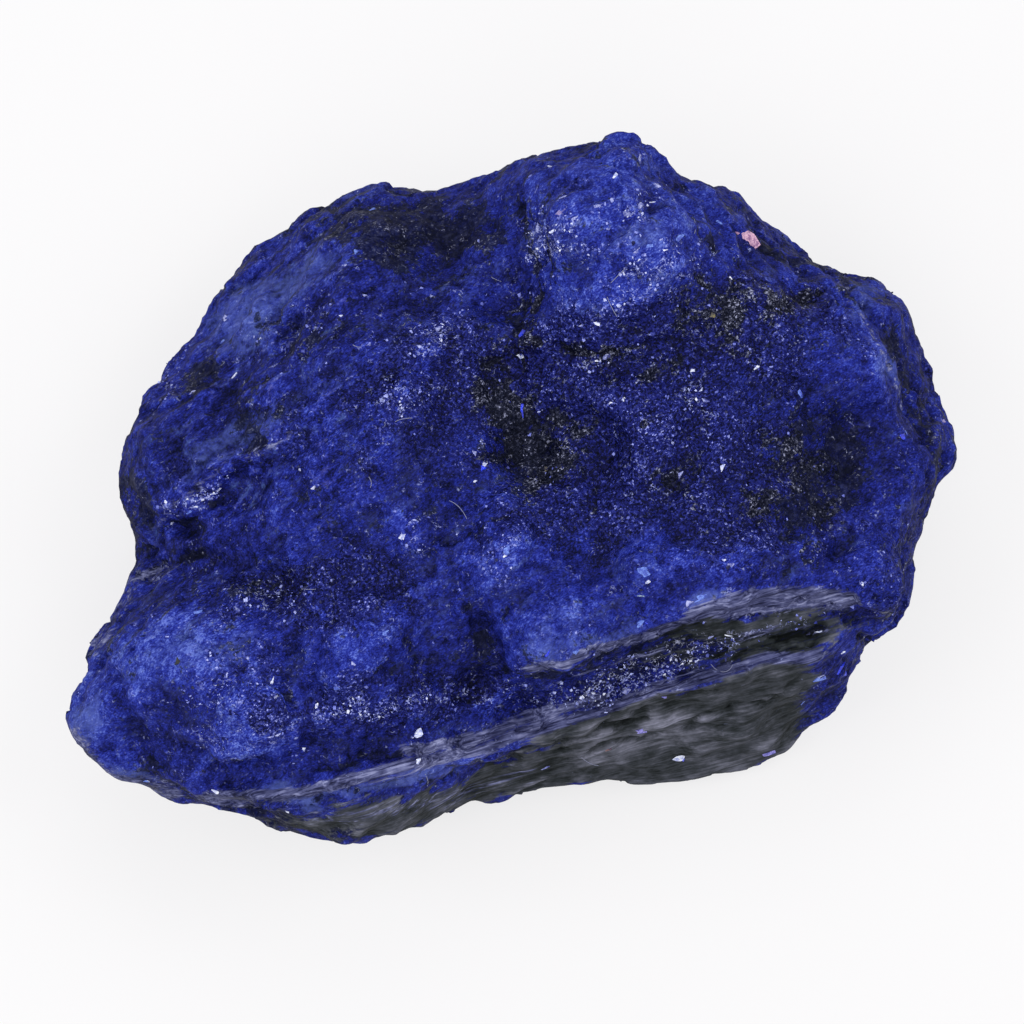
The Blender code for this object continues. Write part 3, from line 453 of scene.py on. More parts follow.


# The crystals that stand out one by one on the broad face. The white ones are partly real white grains and
# partly painted glints.
CRYSTALS = crystals(
    # crown
    (4.3, 10.23, 0.6, 0.37, 35, FROST), (3.87, 9.93, 0.33, 0.23, 20, FROST),
    (4.73, 10.33, 0.4, 0.1, 25, WHITE), (1.57, 9.97, 0.53, 0.2, 20, ROSE_FROST),
    (0.87, 9.47, 0.3, 0.17, 60, FROST), (1.1, 9.67, 0.27, 0.13, -20, PALE_BLUE),
    (1.33, 9.33, 0.23, 0.13, 10, WHITE), (5.6, 9.17, 0.37, 0.2, 20, PALE_BLUE),
    (6.9, 9.67, 0.3, 0.2, 0, PALE_BLUE), (3.43, 11.2, 0.23, 0.13, 40, WHITE),
    (4.8, 10.9, 0.27, 0.17, 30, FROST), (4.27, 11.73, 0.4, 0.2, 50, FROST),
    (4.53, 8.87, 0.33, 0.13, 15, PALE_BLUE), (4.13, 8.67, 0.27, 0.13, 30, FROST),
    (5.07, 8.73, 0.27, 0.1, 10, WHITE), (4.93, 9.07, 0.2, 0.1, 40, FROST),
    (1.27, 11.53, 0.17, 0.1, -30, WHITE), (2.83, 6.27, 0.2, 0.13, 10, WHITE),
    (2.33, 6.2, 0.3, 0.13, 5, FROST), (7.3, 7.8, 0.13, 0.1, 0, WHITE), (1.1, 8.77, 0.23, 0.1, -60, WHITE),
    (2.53, 8.1, 0.2, 0.1, 70, FROST), (3.23, 9.43, 0.17, 0.1, 0, FROST), (1.7, 10.5, 0.3, 0.1, 10, FROST),
    (2.93, 10.2, 0.4, 0.1, 18, FROST), (2.1, 9.8, 0.23, 0.1, 15, FROST),
    # upper left slope
    (-4.7, 10.07, 0.3, 0.23, 20, PALE_BLUE), (-5.7, 6.53, 0.13, 0.1, 0, WHITE),
    (-2.5, 6.1, 0.27, 0.2, 60, FROST), (-2.33, 6.27, 0.17, 0.1, 0, WHITE), (-9.27, 4.53, 0.3, 0.1, 30, WHITE),
    (-10.57, 4.03, 0.43, 0.2, 10, FROST), (-8.4, 5.77, 0.17, 0.13, 0, WHITE),
    (-9.6, 6.47, 0.2, 0.23, 70, FROST), (-9.67, 5.67, 0.23, 0.13, 30, PALE_BLUE),
    (-4.93, 7.23, 0.2, 0.17, 0, FROST), (-5.6, 8.23, 0.2, 0.17, 0, FROST),
    (-5.23, 8.67, 0.33, 0.3, 0, PALE_BLUE),
    # centre
    (0.3, 5.23, 0.57, 0.33, 65, WHITE), (3.13, 5.17, 0.73, 0.2, 20, FROST),
    (2.87, 5.03, 0.2, 0.13, 20, WHITE), (0.4, 5.97, 0.4, 0.33, 30, BRIGHT_BLUE),
    (-0.97, 1.47, 0.37, 0.3, 20, BRIGHT_BLUE), (-0.9, 1.57, 0.17, 0.13, 0, WHITE),
    (0.33, 3.37, 0.47, 0.13, 85, BRIGHT_BLUE), (-1.23, 1.93, 0.2, 0.17, 0, FROST),
    (-1.23, 1.03, 0.13, 0.1, 0, WHITE), (1.13, 1.43, 0.17, 0.17, 0, HONEY), (0.9, 3.33, 0.1, 0.1, 0, WHITE),
    (6.97, 1.5, 0.27, 0.2, 60, WHITE), (5.6, 1.27, 0.4, 0.17, 75, FROST), (5.33, 2.33, 0.17, 0.3, 0, FROST),
    (3.7, 3.73, 0.2, 0.13, 30, WHITE), (3.27, 3.63, 0.17, 0.1, 0, WHITE), (6.0, 4.73, 0.2, 0.13, 0, WHITE),
    (6.43, 3.73, 0.4, 0.17, -30, FROST), (6.3, 4.07, 0.2, 0.1, 60, WHITE), (8.13, 4.8, 0.2, 0.17, 70, WHITE),
    (7.87, 5.0, 0.2, 0.1, 0, FROST), (5.37, 2.3, 0.17, 0.13, 0, WHITE), (6.67, 6.57, 0.27, 0.2, 20, HONEY),
    (9.7, 3.83, 0.23, 0.4, 10, PALE_BLUE), (9.67, 3.63, 0.17, 0.13, 0, FROST),
    (-3.63, -0.8, 0.27, 0.2, 60, WHITE), (-0.13, -1.3, 0.3, 0.23, 40, PALE_BLUE),
    (-0.23, -1.47, 0.13, 0.1, 0, WHITE), (4.43, -2.0, 0.43, 0.3, 20, PALE_BLUE),
    (4.53, -2.33, 0.17, 0.13, 0, WHITE), (7.27, -1.77, 0.3, 0.2, 30, FROST),
    (7.07, -1.6, 0.13, 0.1, 0, WHITE),
    # right rim
    (13.03, 2.53, 0.47, 0.2, -35, BRIGHT_BLUE), (13.13, 2.67, 0.27, 0.1, -30, PALE_BLUE),
    (14.37, 3.03, 0.2, 0.13, 30, ROSE_FROST), (11.63, -2.4, 0.2, 0.13, 50, WHITE),
    # back edge
    (7.8, 9.2, 1.03, 0.7, -65, ROSE),
    # left ledge
    (-7.1, 1.43, 0.13, 0.1, 0, WHITE), (-6.63, 0.8, 0.23, 0.17, 20, WHITE),
    (-10.2, 0.47, 0.3, 0.13, 40, FROST), (-10.0, 0.6, 0.2, 0.1, 35, WHITE),
    (-10.5, 0.17, 0.23, 0.1, 30, WHITE), (-11.07, -0.13, 0.23, 0.1, 40, FROST),
    (-11.33, -0.37, 0.17, 0.1, 40, WHITE), (-10.73, 0.0, 0.27, 0.1, 35, PALE_BLUE),
    (-9.77, 0.73, 0.2, 0.13, 60, WHITE),
    # lobes
    (-8.0, -5.67, 0.4, 0.13, 80, WHITE), (-6.5, -6.47, 0.17, 0.13, 30, WHITE),
    (-10.43, -7.47, 0.23, 0.3, 60, FROST), (-6.93, -7.93, 0.13, 0.13, 0, WHITE),
    (-12.2, -8.97, 0.2, 0.13, 20, PALE_BLUE), (-12.13, -8.97, 0.1, 0.1, 0, WHITE),
    (-9.9, -9.33, 0.3, 0.13, -10, WHITE), (-11.17, -4.9, 0.27, 0.37, 0, PITCH),
    (-6.93, -6.37, 0.17, 0.4, 5, RUST), (-3.17, -7.37, 0.37, 0.27, 20, WHITE),
    (-3.33, -7.5, 0.23, 0.17, 60, FROST), (-3.13, -8.3, 0.23, 0.2, 30, WHITE),
    (-7.5, -10.0, 0.13, 0.1, 0, WHITE), (-7.8, -7.43, 0.3, 0.13, 0, FROST),
    (-8.13, -7.5, 0.27, 0.1, 10, FROST), (-8.83, -4.87, 0.13, 0.13, 0, FROST),
    (-5.27, -5.07, 0.17, 0.13, 0, FROST), (-4.2, -4.03, 0.23, 0.27, 60, PALE_BLUE),
    (-5.8, -5.9, 0.27, 0.2, 0, PALE_BLUE), (-10.4, -3.33, 0.4, 0.23, 10, PALE_BLUE),
    # front knob
    (1.2, -4.73, 0.23, 0.23, 0, BRIGHT_BLUE), (4.3, -2.8, 0.27, 0.33, 80, GREEN_FROST),
    (6.3, -2.87, 0.5, 0.2, 20, PALE_BLUE), (5.93, -3.03, 0.27, 0.17, 15, FROST),
    (2.13, -4.7, 0.23, 0.17, 0, PALE_BLUE), (4.27, -3.67, 0.3, 0.2, 15, PALE_BLUE),
    (4.47, -3.7, 0.13, 0.1, 0, BRIGHT_BLUE),
    # front wall
    (3.83, -5.97, 0.3, 0.23, 10, FROST), (4.3, -7.33, 0.4, 0.3, 0, VIOLET),
    (4.3, -7.27, 0.23, 0.13, 0, WHITE), (5.53, -8.17, 0.4, 0.33, -20, WHITE),
    (5.7, -8.27, 0.23, 0.23, 0, BRIGHT_BLUE), (8.47, -8.07, 0.63, 0.43, -10, VIOLET),
    (3.17, -7.93, 0.3, 0.17, 20, RUST), (1.1, -8.53, 0.4, 0.17, 10, FROST),
    (5.07, -6.17, 0.17, 0.17, 0, VIOLET), (10.23, -5.57, 0.5, 0.33, 15, PALE_BLUE),
    (10.33, -5.47, 0.27, 0.13, 20, FROST), (9.73, -6.33, 0.27, 0.17, 60, PALE_BLUE),
    (10.97, -5.2, 0.53, 0.33, 30, BRIGHT_BLUE), (11.13, -5.33, 0.33, 0.47, 20, BRIGHT_BLUE),
    (7.23, -4.13, 0.3, 0.1, -40, WHITE), (7.37, -4.23, 0.23, 0.07, -20, WHITE),
    (6.63, -4.17, 0.2, 0.1, 10, FROST), (6.67, -4.77, 0.27, 0.07, -60, WHITE),
    (10.27, -4.0, 0.3, 0.07, 0, WHITE), (11.03, -4.67, 0.17, 0.13, 0, WHITE),
    (3.17, -7.93, 0.13, 0.1, 0, HONEY),
)

# The dust fibres on the broad face.
FIBRES = (
    ((2.77, 7.07), (3.13, 7.47), (3.47, 7.83), (3.77, 8.13)),
    ((-2.10, 0.37), (-1.83, 0.27), (-1.63, 0.07), (-1.50, -0.23)),
    ((-3.90, 3.00), (-3.67, 3.13), (-3.33, 3.13)),
    ((-7.00, -2.57), (-6.77, -2.60), (-6.53, -2.57)),
    ((6.63, -5.07), (6.77, -5.27), (7.03, -5.40), (7.27, -5.30), (7.37, -5.10)),
    ((-2.90, -8.73), (-2.80, -8.90), (-2.83, -9.13)),
    ((-4.77, 1.17), (-4.63, 1.00), (-4.73, 0.80)),
    ((-5.30, 5.57), (-5.17, 5.47), (-5.03, 5.50)),
    ((3.17, 7.17), (3.30, 6.83), (3.50, 6.53)),
    ((2.33, -8.17), (2.57, -8.40), (2.87, -8.43)),
    ((-0.70, 7.83), (-0.53, 7.73), (-0.37, 7.67)),
    ((6.07, 9.73), (6.13, 9.47), (6.07, 9.27)),
)

# ---------------------------------------------------------------------------------------------
# Shaders.
# ---------------------------------------------------------------------------------------------


class Wire:
    """A node's socket, on which arithmetic adds Math nodes."""

    def __init__(self, bench: "Bench", socket: bpy.types.NodeSocket) -> None:
        """Wraps an output socket of one of the bench's nodes."""
        self.bench = bench
        self.socket = socket

    def __add__(self, other: "Wire | float") -> "Wire":
        """Adds."""
        return self.bench.math("ADD", self, other)

    __radd__ = __add__

    def __mul__(self, other: "Wire | float") -> "Wire":
        """Multiplies."""
        return self.bench.math("MULTIPLY", self, other)

    __rmul__ = __mul__

    def __sub__(self, other: "Wire | float") -> "Wire":
        """Subtracts."""
        return self.bench.math("SUBTRACT", self, other)

    def __rsub__(self, other: "Wire | float") -> "Wire":
        """Subtracts this from a number."""
        return self.bench.math("SUBTRACT", other, self)

    def rise(self, low: float, high: float) -> "Wire":
        """A smooth rise from 0 at low to 1 at high.

        Args:
            low: Where the rise starts. It may be above high, for a fall.
            high: Where the rise ends.

        Returns:
            The share, from 0 to 1.
        """
        inputs = {"Value": self, "From Min": low, "From Max": high}
        node = self.bench.add("ShaderNodeMapRange", {"interpolation_type": "SMOOTHSTEP"}, inputs)
        return Wire(self.bench, node.outputs["Result"])


class Bench:
    """Where one material's nodes are put together."""

    def __init__(self, name: str) -> None:
        """Starts a material with only its Principled shader and output.

        Args:
            name: The material's name.
        """
        self.material = bpy.data.materials.new(name)
        self.material.use_nodes = True
        self.nodes = self.material.node_tree.nodes
        self.links = self.material.node_tree.links
        self.shader = self.nodes["Principled BSDF"]

    def add(self, kind: str, settings: dict[str, Any], inputs: dict[str | int, Any]) -> bpy.types.Node:
        """Adds a node.

        Args:
            kind: The node's type.
            settings: What is set on the node itself, before its sockets.
            inputs: A value or a Wire for each input, by its name or number.

        Returns:
            The node.
        """
        node = self.nodes.new(kind)
        for name, value in settings.items():
            setattr(node, name, value)
        self.feed(node, inputs)
        return node

    def feed(self, node: bpy.types.Node, inputs: dict[str | int, Any]) -> None:
        """Sets or links a node's inputs.

        Args:
            node: The node.
            inputs: A value or a Wire for each input, by its name or number.
        """
        for key, value in inputs.items():
            socket = node.inputs[key]
            if isinstance(value, Wire):
                self.links.new(value.socket, socket)
            elif isinstance(value, tuple) and socket.type == "RGBA":
                socket.default_value = (*value, 1.0)
            else:
                socket.default_value = value

    def math(self, operation: str, first: Wire | float, second: Wire | float) -> Wire:
        """A Math node on two values."""
        node = self.add("ShaderNodeMath", {"operation": operation}, {0: first, 1: second})
        return Wire(self, node.outputs[0])

    def vector(self, operation: str, first: Wire, second: Any = (0.0, 0.0, 0.0)) -> Wire:
        """Adds a Vector Math node.

        Args:
            operation: What it works out.
            first: The vector that it starts from.
            second: The other vector, or a number where the operation is SCALE.

        Returns:
            The vector.
        """
        key = "Scale" if operation == "SCALE" else 1
        node = self.add("ShaderNodeVectorMath", {"operation": operation}, {0: first, key: second})
        return Wire(self, node.outputs["Vector"])

    def mix(self, share: Wire | float, below: Wire | Colour, above: Wire | Colour) -> Wire:
        """A colour from below, where share is 0, to above, where it is 1."""
        node = self.add("ShaderNodeMix", {"data_type": "RGBA"}, {0: share, 6: below, 7: above})
        return Wire(self, node.outputs[2])

    def ramp(self, value: Wire, stops: Stops) -> Wire:
        """A colour ramp.

        Args:
            value: What the ramp reads.
            stops: The place and the colour of each stop, in order.

        Returns:
            The colour.
        """
        node = self.add("ShaderNodeValToRGB", {}, {0: value})
        elements = node.color_ramp.elements
        while len(elements) < len(stops):
            elements.new(0.5)
        for element, (place, colour) in zip(elements, stops):
            element.position = place
            element.color = (*colour, 1.0)
        return Wire(self, node.outputs["Color"])

    def place(self) -> Wire:
        """Object coordinates in millimetres."""
        node = self.add("ShaderNodeTexCoord", {}, {})
        return self.vector("SCALE", Wire(self, node.outputs["Object"]), 1000.0)

    def turned(self, place: Wire, turn: Triple, scale: Triple) -> Wire:
        """Turns coordinates about the origin, then scales them along each new axis.

        Args:
            place: The coordinates.
            turn: The turn about each axis, in degrees.
            scale: What each new axis is scaled by. Below 1, the pattern is drawn out along it.

        Returns:
            The new coordinates.
        """
        angles = tuple(math.radians(angle) for angle in turn)
        stretch = tuple(1 / share for share in scale)
        inputs = {"Vector": place, "Rotation": angles, "Scale": stretch}
        return Wire(self, self.add("ShaderNodeMapping", {"vector_type": "TEXTURE"}, inputs).outputs["Vector"])

    def painted(self, name: str) -> Wire:
        """A value painted on the mesh."""
        node = self.add("ShaderNodeAttribute", {"attribute_name": name}, {})
        return Wire(self, node.outputs["Fac"])

    def cloud(self, place: Wire, size: float, detail: float = 2.0, rough: float = 0.5) -> Wire:
        """Noise from 0 to 1 whose lumps are of that size in millimetres."""
        inputs = {"Vector": place, "Scale": 1 / size, "Detail": detail, "Roughness": rough}
        return Wire(self, self.add("ShaderNodeTexNoise", {}, inputs).outputs["Fac"])

    def shaken(self, place: Wire, size: float, reach: float) -> Wire:
        """Moves coordinates about by noise.

        Args:
            place: The coordinates, in millimetres.
            size: How wide the lumps of the noise are, in millimetres.
            reach: About how far it moves them, in millimetres.

        Returns:
            The new coordinates.
        """
        node = self.add("ShaderNodeTexNoise", {}, {"Vector": place, "Scale": 1 / size, "Detail": 1.0})
        moved = self.vector("SUBTRACT", Wire(self, node.outputs["Color"]), (0.5, 0.5, 0.5))
        return self.vector("ADD", place, self.vector("SCALE", moved, 2.0 * reach))

    def cells(self, place: Wire, size: float) -> bpy.types.Node:
        """A cell pattern whose cells are of about that size in millimetres."""
        return self.add("ShaderNodeTexVoronoi", {}, {"Vector": place, "Scale": 1 / size})

    def cell_colour(self, place: Wire, size: float) -> Wire:
        """A random colour for each cell of about that size in millimetres."""
        return Wire(self, self.cells(place, size).outputs["Color"])

    def channels(self, colour: Wire) -> list[Wire]:
        """A colour's three channels."""
        node = self.add("ShaderNodeSeparateColor", {}, {0: colour})
        return [Wire(self, output) for output in node.outputs]

    def bump(self, height: Wire, depth: float) -> Wire:
        """The normal of a surface with that relief, of a depth in millimetres."""
        node = self.add("ShaderNodeBump", {}, {"Height": height, "Distance": depth * MM, "Strength": 1.0})
        return Wire(self, node.outputs["Normal"])


class GlintSpeckSet(NamedTuple):
    """Painted glint specks that lie one way: their cells' turn, scale and size, and a speck's radius, in mm.
    """

    turn: Triple
    scale: Triple
    size: float
    radius: float


@dataclass
class StonePattern:
    """What the stone's colours are mixed from: noises, streaks and cells, and what is painted on it.

    The sizes are in millimetres. Lumps, streaks, layers, strands, clumps, bunches and grit lie about 0, and
    the other noises and the cells run from 0 to 1.
    """

    bench: Bench
    drift_size: float = 1.3
    lump_size: float = 0.8
    bunch_size: float = 0.42
    streak_size: float = 0.34
    fine_size: float = 0.2
    layer_size: float = 0.2
    clump_size: float = 0.13
    strand_size: float = 0.07
    grit_size: float = 0.055
    block_size: float = 1.0
    chip_size: float = 0.24
    grain_size: float = 0.06
    steep_turn: Triple = (15.0, 0.0, 36.0)
    gentle_turn: Triple = (15.0, 0.0, 17.0)

    def __post_init__(self) -> None:
        """Adds the nodes."""
        bench = self.bench
        self.tone, self.olive, self.sugar = (bench.painted(name) for name in ("tone", "olive", "sugar"))
        self.fibre, self.wall, self.milk = (bench.painted(name) for name in ("fibre", "wall", "milk"))
        # The middle value of this row is painted shade in hollows and painted light on ridges.
        self.glint, self.hollow, self.slope = (bench.painted(name) for name in ("glint", "hollow", "slope"))
        self.place = bench.place()
        steep = bench.turned(self.place, self.steep_turn, (0.3, 1.0, 1.0))
        gentle = bench.turned(self.place, self.gentle_turn, (0.05, 1.0, 1.0))
        gritty = bench.turned(self.place, self.steep_turn, (0.6, 1.0, 1.0))
        self.drift = bench.cloud(self.place, self.drift_size, 2.0)
        self.fine = bench.cloud(self.place, self.fine_size, 2.0, 0.65)
        self.streak = bench.cloud(steep, self.streak_size, 3.0, 0.65)
        self.clump = bench.cloud(self.place, self.clump_size, 2.0, 0.7)
        self.lumps = bench.cloud(self.place, self.lump_size, 3.0, 0.62) - 0.5
        self.streaks = self.streak - 0.5
        self.layers = bench.cloud(gentle, self.layer_size, 3.0, 0.7) - 0.5
        self.strands = bench.cloud(gentle, self.strand_size, 1.0, 0.6) - 0.5
        self.clumps = self.clump - 0.5
        self.bunches = bench.cloud(self.place, self.bunch_size, 2.0, 0.6) - 0.5
        self.grit = bench.cloud(gritty, self.grit_size, 1.0, 0.7) - 0.5
        self.restless = bench.shaken(self.place, 0.07, 0.05)
        self.block = bench.channels(bench.cell_colour(bench.shaken(self.place, 0.5, 0.42), self.block_size))
        self.chip_colour = bench.cell_colour(bench.shaken(self.place, 0.16, 0.12), self.chip_size)
        self.chip = bench.channels(self.chip_colour)
        self.grain_colour = bench.cell_colour(self.restless, self.grain_size)
        self.chance = bench.channels(self.grain_colour)


@dataclass(frozen=True)
class StoneFinish:
    """The stone: cloudy royal blue mottled with black, sugary with grains, grey where it is fibrous, with
    painted glints and painted shade in its hollows.
    """

    blues: Stops = stops(
        (0.0, 3, 6, 24), (0.22, 12, 16, 58), (0.42, 22, 28, 98), (0.6, 31, 41, 136), (0.8, 52, 67, 170),
        (1.0, 100, 120, 212),
    )
    sugars: Stops = stops(
        (0.0, 4, 5, 18), (0.36, 13, 15, 52), (0.62, 24, 29, 100), (0.8, 42, 50, 128), (0.92, 82, 90, 172),
        (1.0, 160, 168, 238),
    )
    olives: Stops = stops(
        (0.0, 3, 5, 14), (0.5, 10, 13, 30), (0.76, 36, 39, 58), (0.9, 80, 82, 102), (1.0, 150, 154, 184),
    )
    fibres: Stops = stops(
        (0.2, 14, 16, 36), (0.38, 45, 48, 82), (0.56, 86, 90, 131), (0.8, 148, 152, 192),
    )
    walls: Stops = stops(
        (0.2, 12, 15, 16), (0.4, 38, 42, 45), (0.56, 62, 65, 73), (0.72, 93, 95, 108), (0.9, 130, 131, 150),
    )
    milk: Colour = srgb(84, 99, 170)
    hair: Colour = srgb(98, 98, 178)
    hair_pale: Colour = srgb(96, 130, 200)
    murk: Colour = srgb(38, 41, 70)
    # The painted highlight colours of the glints, the second for olive places.
    glint: Colour = srgb(182, 192, 255)
    glint_warm: Colour = srgb(182, 186, 220)
    glint_speck_sets: tuple[GlintSpeckSet, ...] = (
        GlintSpeckSet((0.0, 0.0, 0.0), (1.0, 1.0, 1.0), 0.065, 0.022),
        GlintSpeckSet((20.0, 10.0, 35.0), (0.4, 1.0, 1.0), 0.06, 0.018),
        GlintSpeckSet((-10.0, 25.0, -50.0), (0.4, 1.0, 1.0), 0.06, 0.018),
        GlintSpeckSet((10.0, 0.0, 24.0), (0.25, 1.0, 1.0), 0.11, 0.026),
    )

    def make(self, name: str) -> bpy.types.Material:
        """The finish as a material.

        Args:
            name: The material's name.

        Returns:
            The material.
        """
        bench = Bench(name)
        look = StonePattern(bench)
        level = self.level(look)
        dark = look.olive + look.lumps * 1.7 + look.streaks * 1.2 + look.clumps * 1.1
        dark = (dark + (look.block[1] - 0.5) * 0.5).rise(0.36, 0.64)
        crumbly = look.sugar - look.lumps + look.clumps * 0.8 + (look.block[0] - 0.5) * 0.9
        crumbly = crumbly.rise(0.24, 0.66) * 0.86 + 0.12
        shade = bench.ramp(look.fine + look.layers * 0.6, self.olives[:3])
        colour = bench.mix(dark * 0.85, self.cloudy(look, level), shade)
        colour = bench.mix(crumbly, colour, self.sugary(look, level, dark))
        colour = self.fibrous(look, colour)
        # Painted highlights: near-white glint specks and strokes laid over the colour, a little warmer on
        # olive places.
        glint = bench.mix(dark * look.olive.rise(0.2, 0.6), self.glint, self.glint_warm)
        colour = bench.mix(self.bright(look), colour, glint)
        dim = look.chance[2].rise(0.5, 1.0) * crumbly * 0.38
        bench.feed(
            bench.shader,
            {
                "Base Color": colour,
                "Roughness": 0.6 - dim + look.wall * 0.2,
                "Normal": self.relief(look, crumbly),
                "IOR": 1.5,
                "Specular IOR Level": 0.045,
            },
        )
        return bench.material

    def level(self, look: StonePattern) -> Wire:
        """How light the blue is.

        Args:
            look: The stone's pattern.

        Returns:
            The level, from 0 to 1.
        """
        streaky = look.streaks * (0.45 + look.slope * 0.75)
        level = 0.483 + look.tone * 0.18 + look.lumps * 0.5 + (look.fine - 0.5) * 0.4 + streaky
        # Painted shade: the blue is darker in hollows and lighter on ridges.
        level = level - look.hollow * 0.11 + (look.chip[0] - 0.5) * 0.19
        return level + look.grit * (0.95 + look.sugar * 0.75) + (look.block[2] - 0.5) * 0.15

    def cloudy(self, look: StonePattern, level: Wire) -> Wire:
        """The smooth blue, with its soft light streaks, murky places and milk.

        Args:
            look: The stone's pattern.
            level: How light the blue is.

        Returns:
            The colour.
        """
        bench = look.bench
        hairs = (look.streak.rise(0.54, 0.72) * look.fine.rise(0.4, 0.62)) * (0.2 + look.slope * 0.4)
        hair = bench.mix(look.drift.rise(0.42, 0.66), self.hair, self.hair_pale)
        colour = bench.mix(hairs, bench.ramp(level, self.blues), hair)
        murk = (look.drift * 0.6 + look.streak * 0.7 + look.clump * 0.4).rise(0.84, 1.04)
        colour = bench.mix(murk * 0.5, colour, self.murk)
        milky = (look.milk + look.lumps * 0.9 + (look.fine - 0.5) * 0.6).rise(0.2, 1.1)
        return bench.mix(milky * 0.8, colour, self.milk)

    def sugary(self, look: StonePattern, level: Wire, dark: Wire) -> Wire:
        """The colour of the fine grains, each with its own lot.

        Args:
            look: The stone's pattern.
            level: How light the blue is.
            dark: How nearly black the stone is.

        Returns:
            The colour.
        """
        # Painted shade: the grains are darker in hollows and lighter on ridges.
        lot = look.chance[0] * 0.6 + look.clumps * 0.7 + level * 0.36 + 0.02 - look.hollow * 0.06
        ramp = look.bench.ramp
        return look.bench.mix(dark, ramp(lot, self.sugars), ramp(lot + 0.08, self.olives))

    def fibrous(self, look: StonePattern, colour: Wire) -> Wire:
        """The colour with the grey wall and the fibrous edges laid over it.

        Args:
            look: The stone's pattern.
            colour: The colour below.

        Returns:
            The colour.
        """
        bench = look.bench
        dull = look.layers * 0.5 + look.strands * 0.3 + look.lumps * 0.7 + look.tone * 0.17 + 0.47
        # Painted shade: the wall's grey is darker in hollows and lighter on ridges.
        dull = bench.ramp(dull - look.hollow * 0.16, self.walls)
        colour = bench.mix((look.wall + look.layers * 1.6).rise(0.3, 0.7), colour, dull)
        pale = look.layers * 0.85 + look.strands * 0.6 + look.lumps * 0.6 + look.tone * 0.14 + 0.48
        pale = bench.ramp(pale, self.fibres)
        return bench.mix((look.fibre + look.layers * 1.1).rise(0.36, 0.62), colour, pale)

    def bright(self, look: StonePattern) -> Wire:
        """How much of the surface is painted glint, as speck or stroke."""
        plenty = look.glint + look.sugar * 0.05 + look.lumps * 0.6 - look.wall * 0.5
        return look.bench.math("MAXIMUM", self.glint_specks(look, plenty), self.glint_strokes(look, plenty))

    def relief(self, look: StonePattern, crumbly: Wire) -> Wire:
        """The normal: soft relief, with the grains and the chips each tilted their own way.

        Args:
            look: The stone's pattern.
            crumbly: How much of the surface is fine grains.

        Returns:
            The normal.
        """
        vector = look.bench.vector
        tilted = look.bench.bump(look.fine * 0.4 + look.streak * 0.4, 0.08)
        sharp = 0.42 - look.fibre * 0.37 - look.wall * 0.38
        for colour, share in ((look.grain_colour, crumbly * 0.5), (look.chip_colour, sharp)):
            slant = vector("SUBTRACT", colour, (0.5, 0.5, 0.5))
            tilted = vector("ADD", tilted, vector("SCALE", slant, share))
        return vector("NORMALIZE", tilted)

    def glint_specks(self, look: StonePattern, plenty: Wire) -> Wire:
        """The painted glints as bright specks, in sets that lie different ways.

        Args:
            look: The stone's pattern.
            plenty: How many specks there are, from 0 to 1.

        Returns:
            How much of the surface is speck.
        """
        bench = look.bench
        all_specks = []
        for turn, scale, size, radius in self.glint_speck_sets:
            cells = bench.cells(bench.turned(look.restless, turn, scale), size)
            chance = bench.channels(Wire(bench, cells.outputs["Color"]))
            there = chance[0] + plenty * 0.3 + look.clumps * 0.4 + look.bunches * 0.8 - 0.12
            near = Wire(bench, cells.outputs["Distance"]).rise(radius / size * 1.3, radius / size * 0.6)
            all_specks.append(there.rise(1.0, 1.06) * near * (0.3 + chance[1] * 0.8))
        return reduce(lambda one, other: bench.math("MAXIMUM", one, other), all_specks)

    def glint_strokes(self, look: StonePattern, plenty: Wire) -> Wire:
        """The painted glints as fine curling light strokes, which come and go.

        Args:
            look: The stone's pattern.
            plenty: How many strokes there are, from 0 to 1.

        Returns:
            How much of the surface is stroke.
        """
        curl = look.bench.cloud(look.place, 0.23, 1.5, 0.55)
        thin = look.bench.math("ABSOLUTE", curl - 0.5, 0.0).rise(0.04, 0.008)
        return thin * (plenty * 0.4 + look.clumps * 1.6 + look.bunches * 1.7).rise(0.12, 0.9) * 0.7


@dataclass(frozen=True)
class GrainFinish:
    """The stone's own small crystals, glassy and of every blue from black to nearly white."""

    colours: Stops = stops(
        (0.0, 8, 10, 30), (0.35, 16, 20, 72), (0.56, 46, 56, 150), (0.72, 120, 130, 214),
        (0.88, 190, 198, 250), (1.0, 232, 236, 255),
    )

    def make(self, name: str) -> bpy.types.Material:
        """The finish as a material.

        Args:
            name: The material's name.

        Returns:
            The material.
        """
        bench = Bench(name)
        lot = bench.painted("lot")
        cloud = bench.cloud(bench.place(), 0.05, 1.0)
        bench.feed(
            bench.shader,
            {
                "Base Color": bench.ramp(lot + (cloud - 0.5) * 0.2, self.colours),
                "Roughness": 0.5 - lot * 0.3,
                "IOR": 1.6,
                "Specular IOR Level": 0.25,
            },
        )
        return bench.material


@dataclass(frozen=True)
class CrystalFinish:
    """A single grain of another colour, glassy and a little cloudy."""

    core: Colour
    edge: Colour
    roughness: float = 0.25

    def make(self, name: str) -> bpy.types.Material:
        """The finish as a material.

        Args:
            name: The material's name.

        Returns:
            The material.
        """
        bench = Bench(name)
        place = bench.place()
        cloud = bench.cloud(place, 0.12, 3.0, 0.6)
        grit = bench.cloud(place, 0.04, 2.0)
        bench.feed(
            bench.shader,
            {
                "Base Color": bench.mix((cloud + (grit - 0.5) * 0.5).rise(0.35, 0.65), self.core, self.edge),
                "Roughness": self.roughness + cloud * 0.2,
                "Normal": bench.bump(grit, 0.02),
                "IOR": 1.6,
            },
        )
        return bench.material


@dataclass(frozen=True)
class DustFinish:
    """Pale textile dust."""

    colour: Colour = srgb(142, 146, 178)

    def make(self, name: str) -> bpy.types.Material:
        """The finish as a material.

        Args:
            name: The material's name.

        Returns:
            The material.
        """
        bench = Bench(name)
        along = bench.cloud(bench.place(), 0.15, 2.0)
        shade = bench.mix(along, tuple(c * 0.6 for c in self.colour), self.colour)
        bench.feed(bench.shader, {"Base Color": shade, "Roughness": 0.8})
        return bench.material


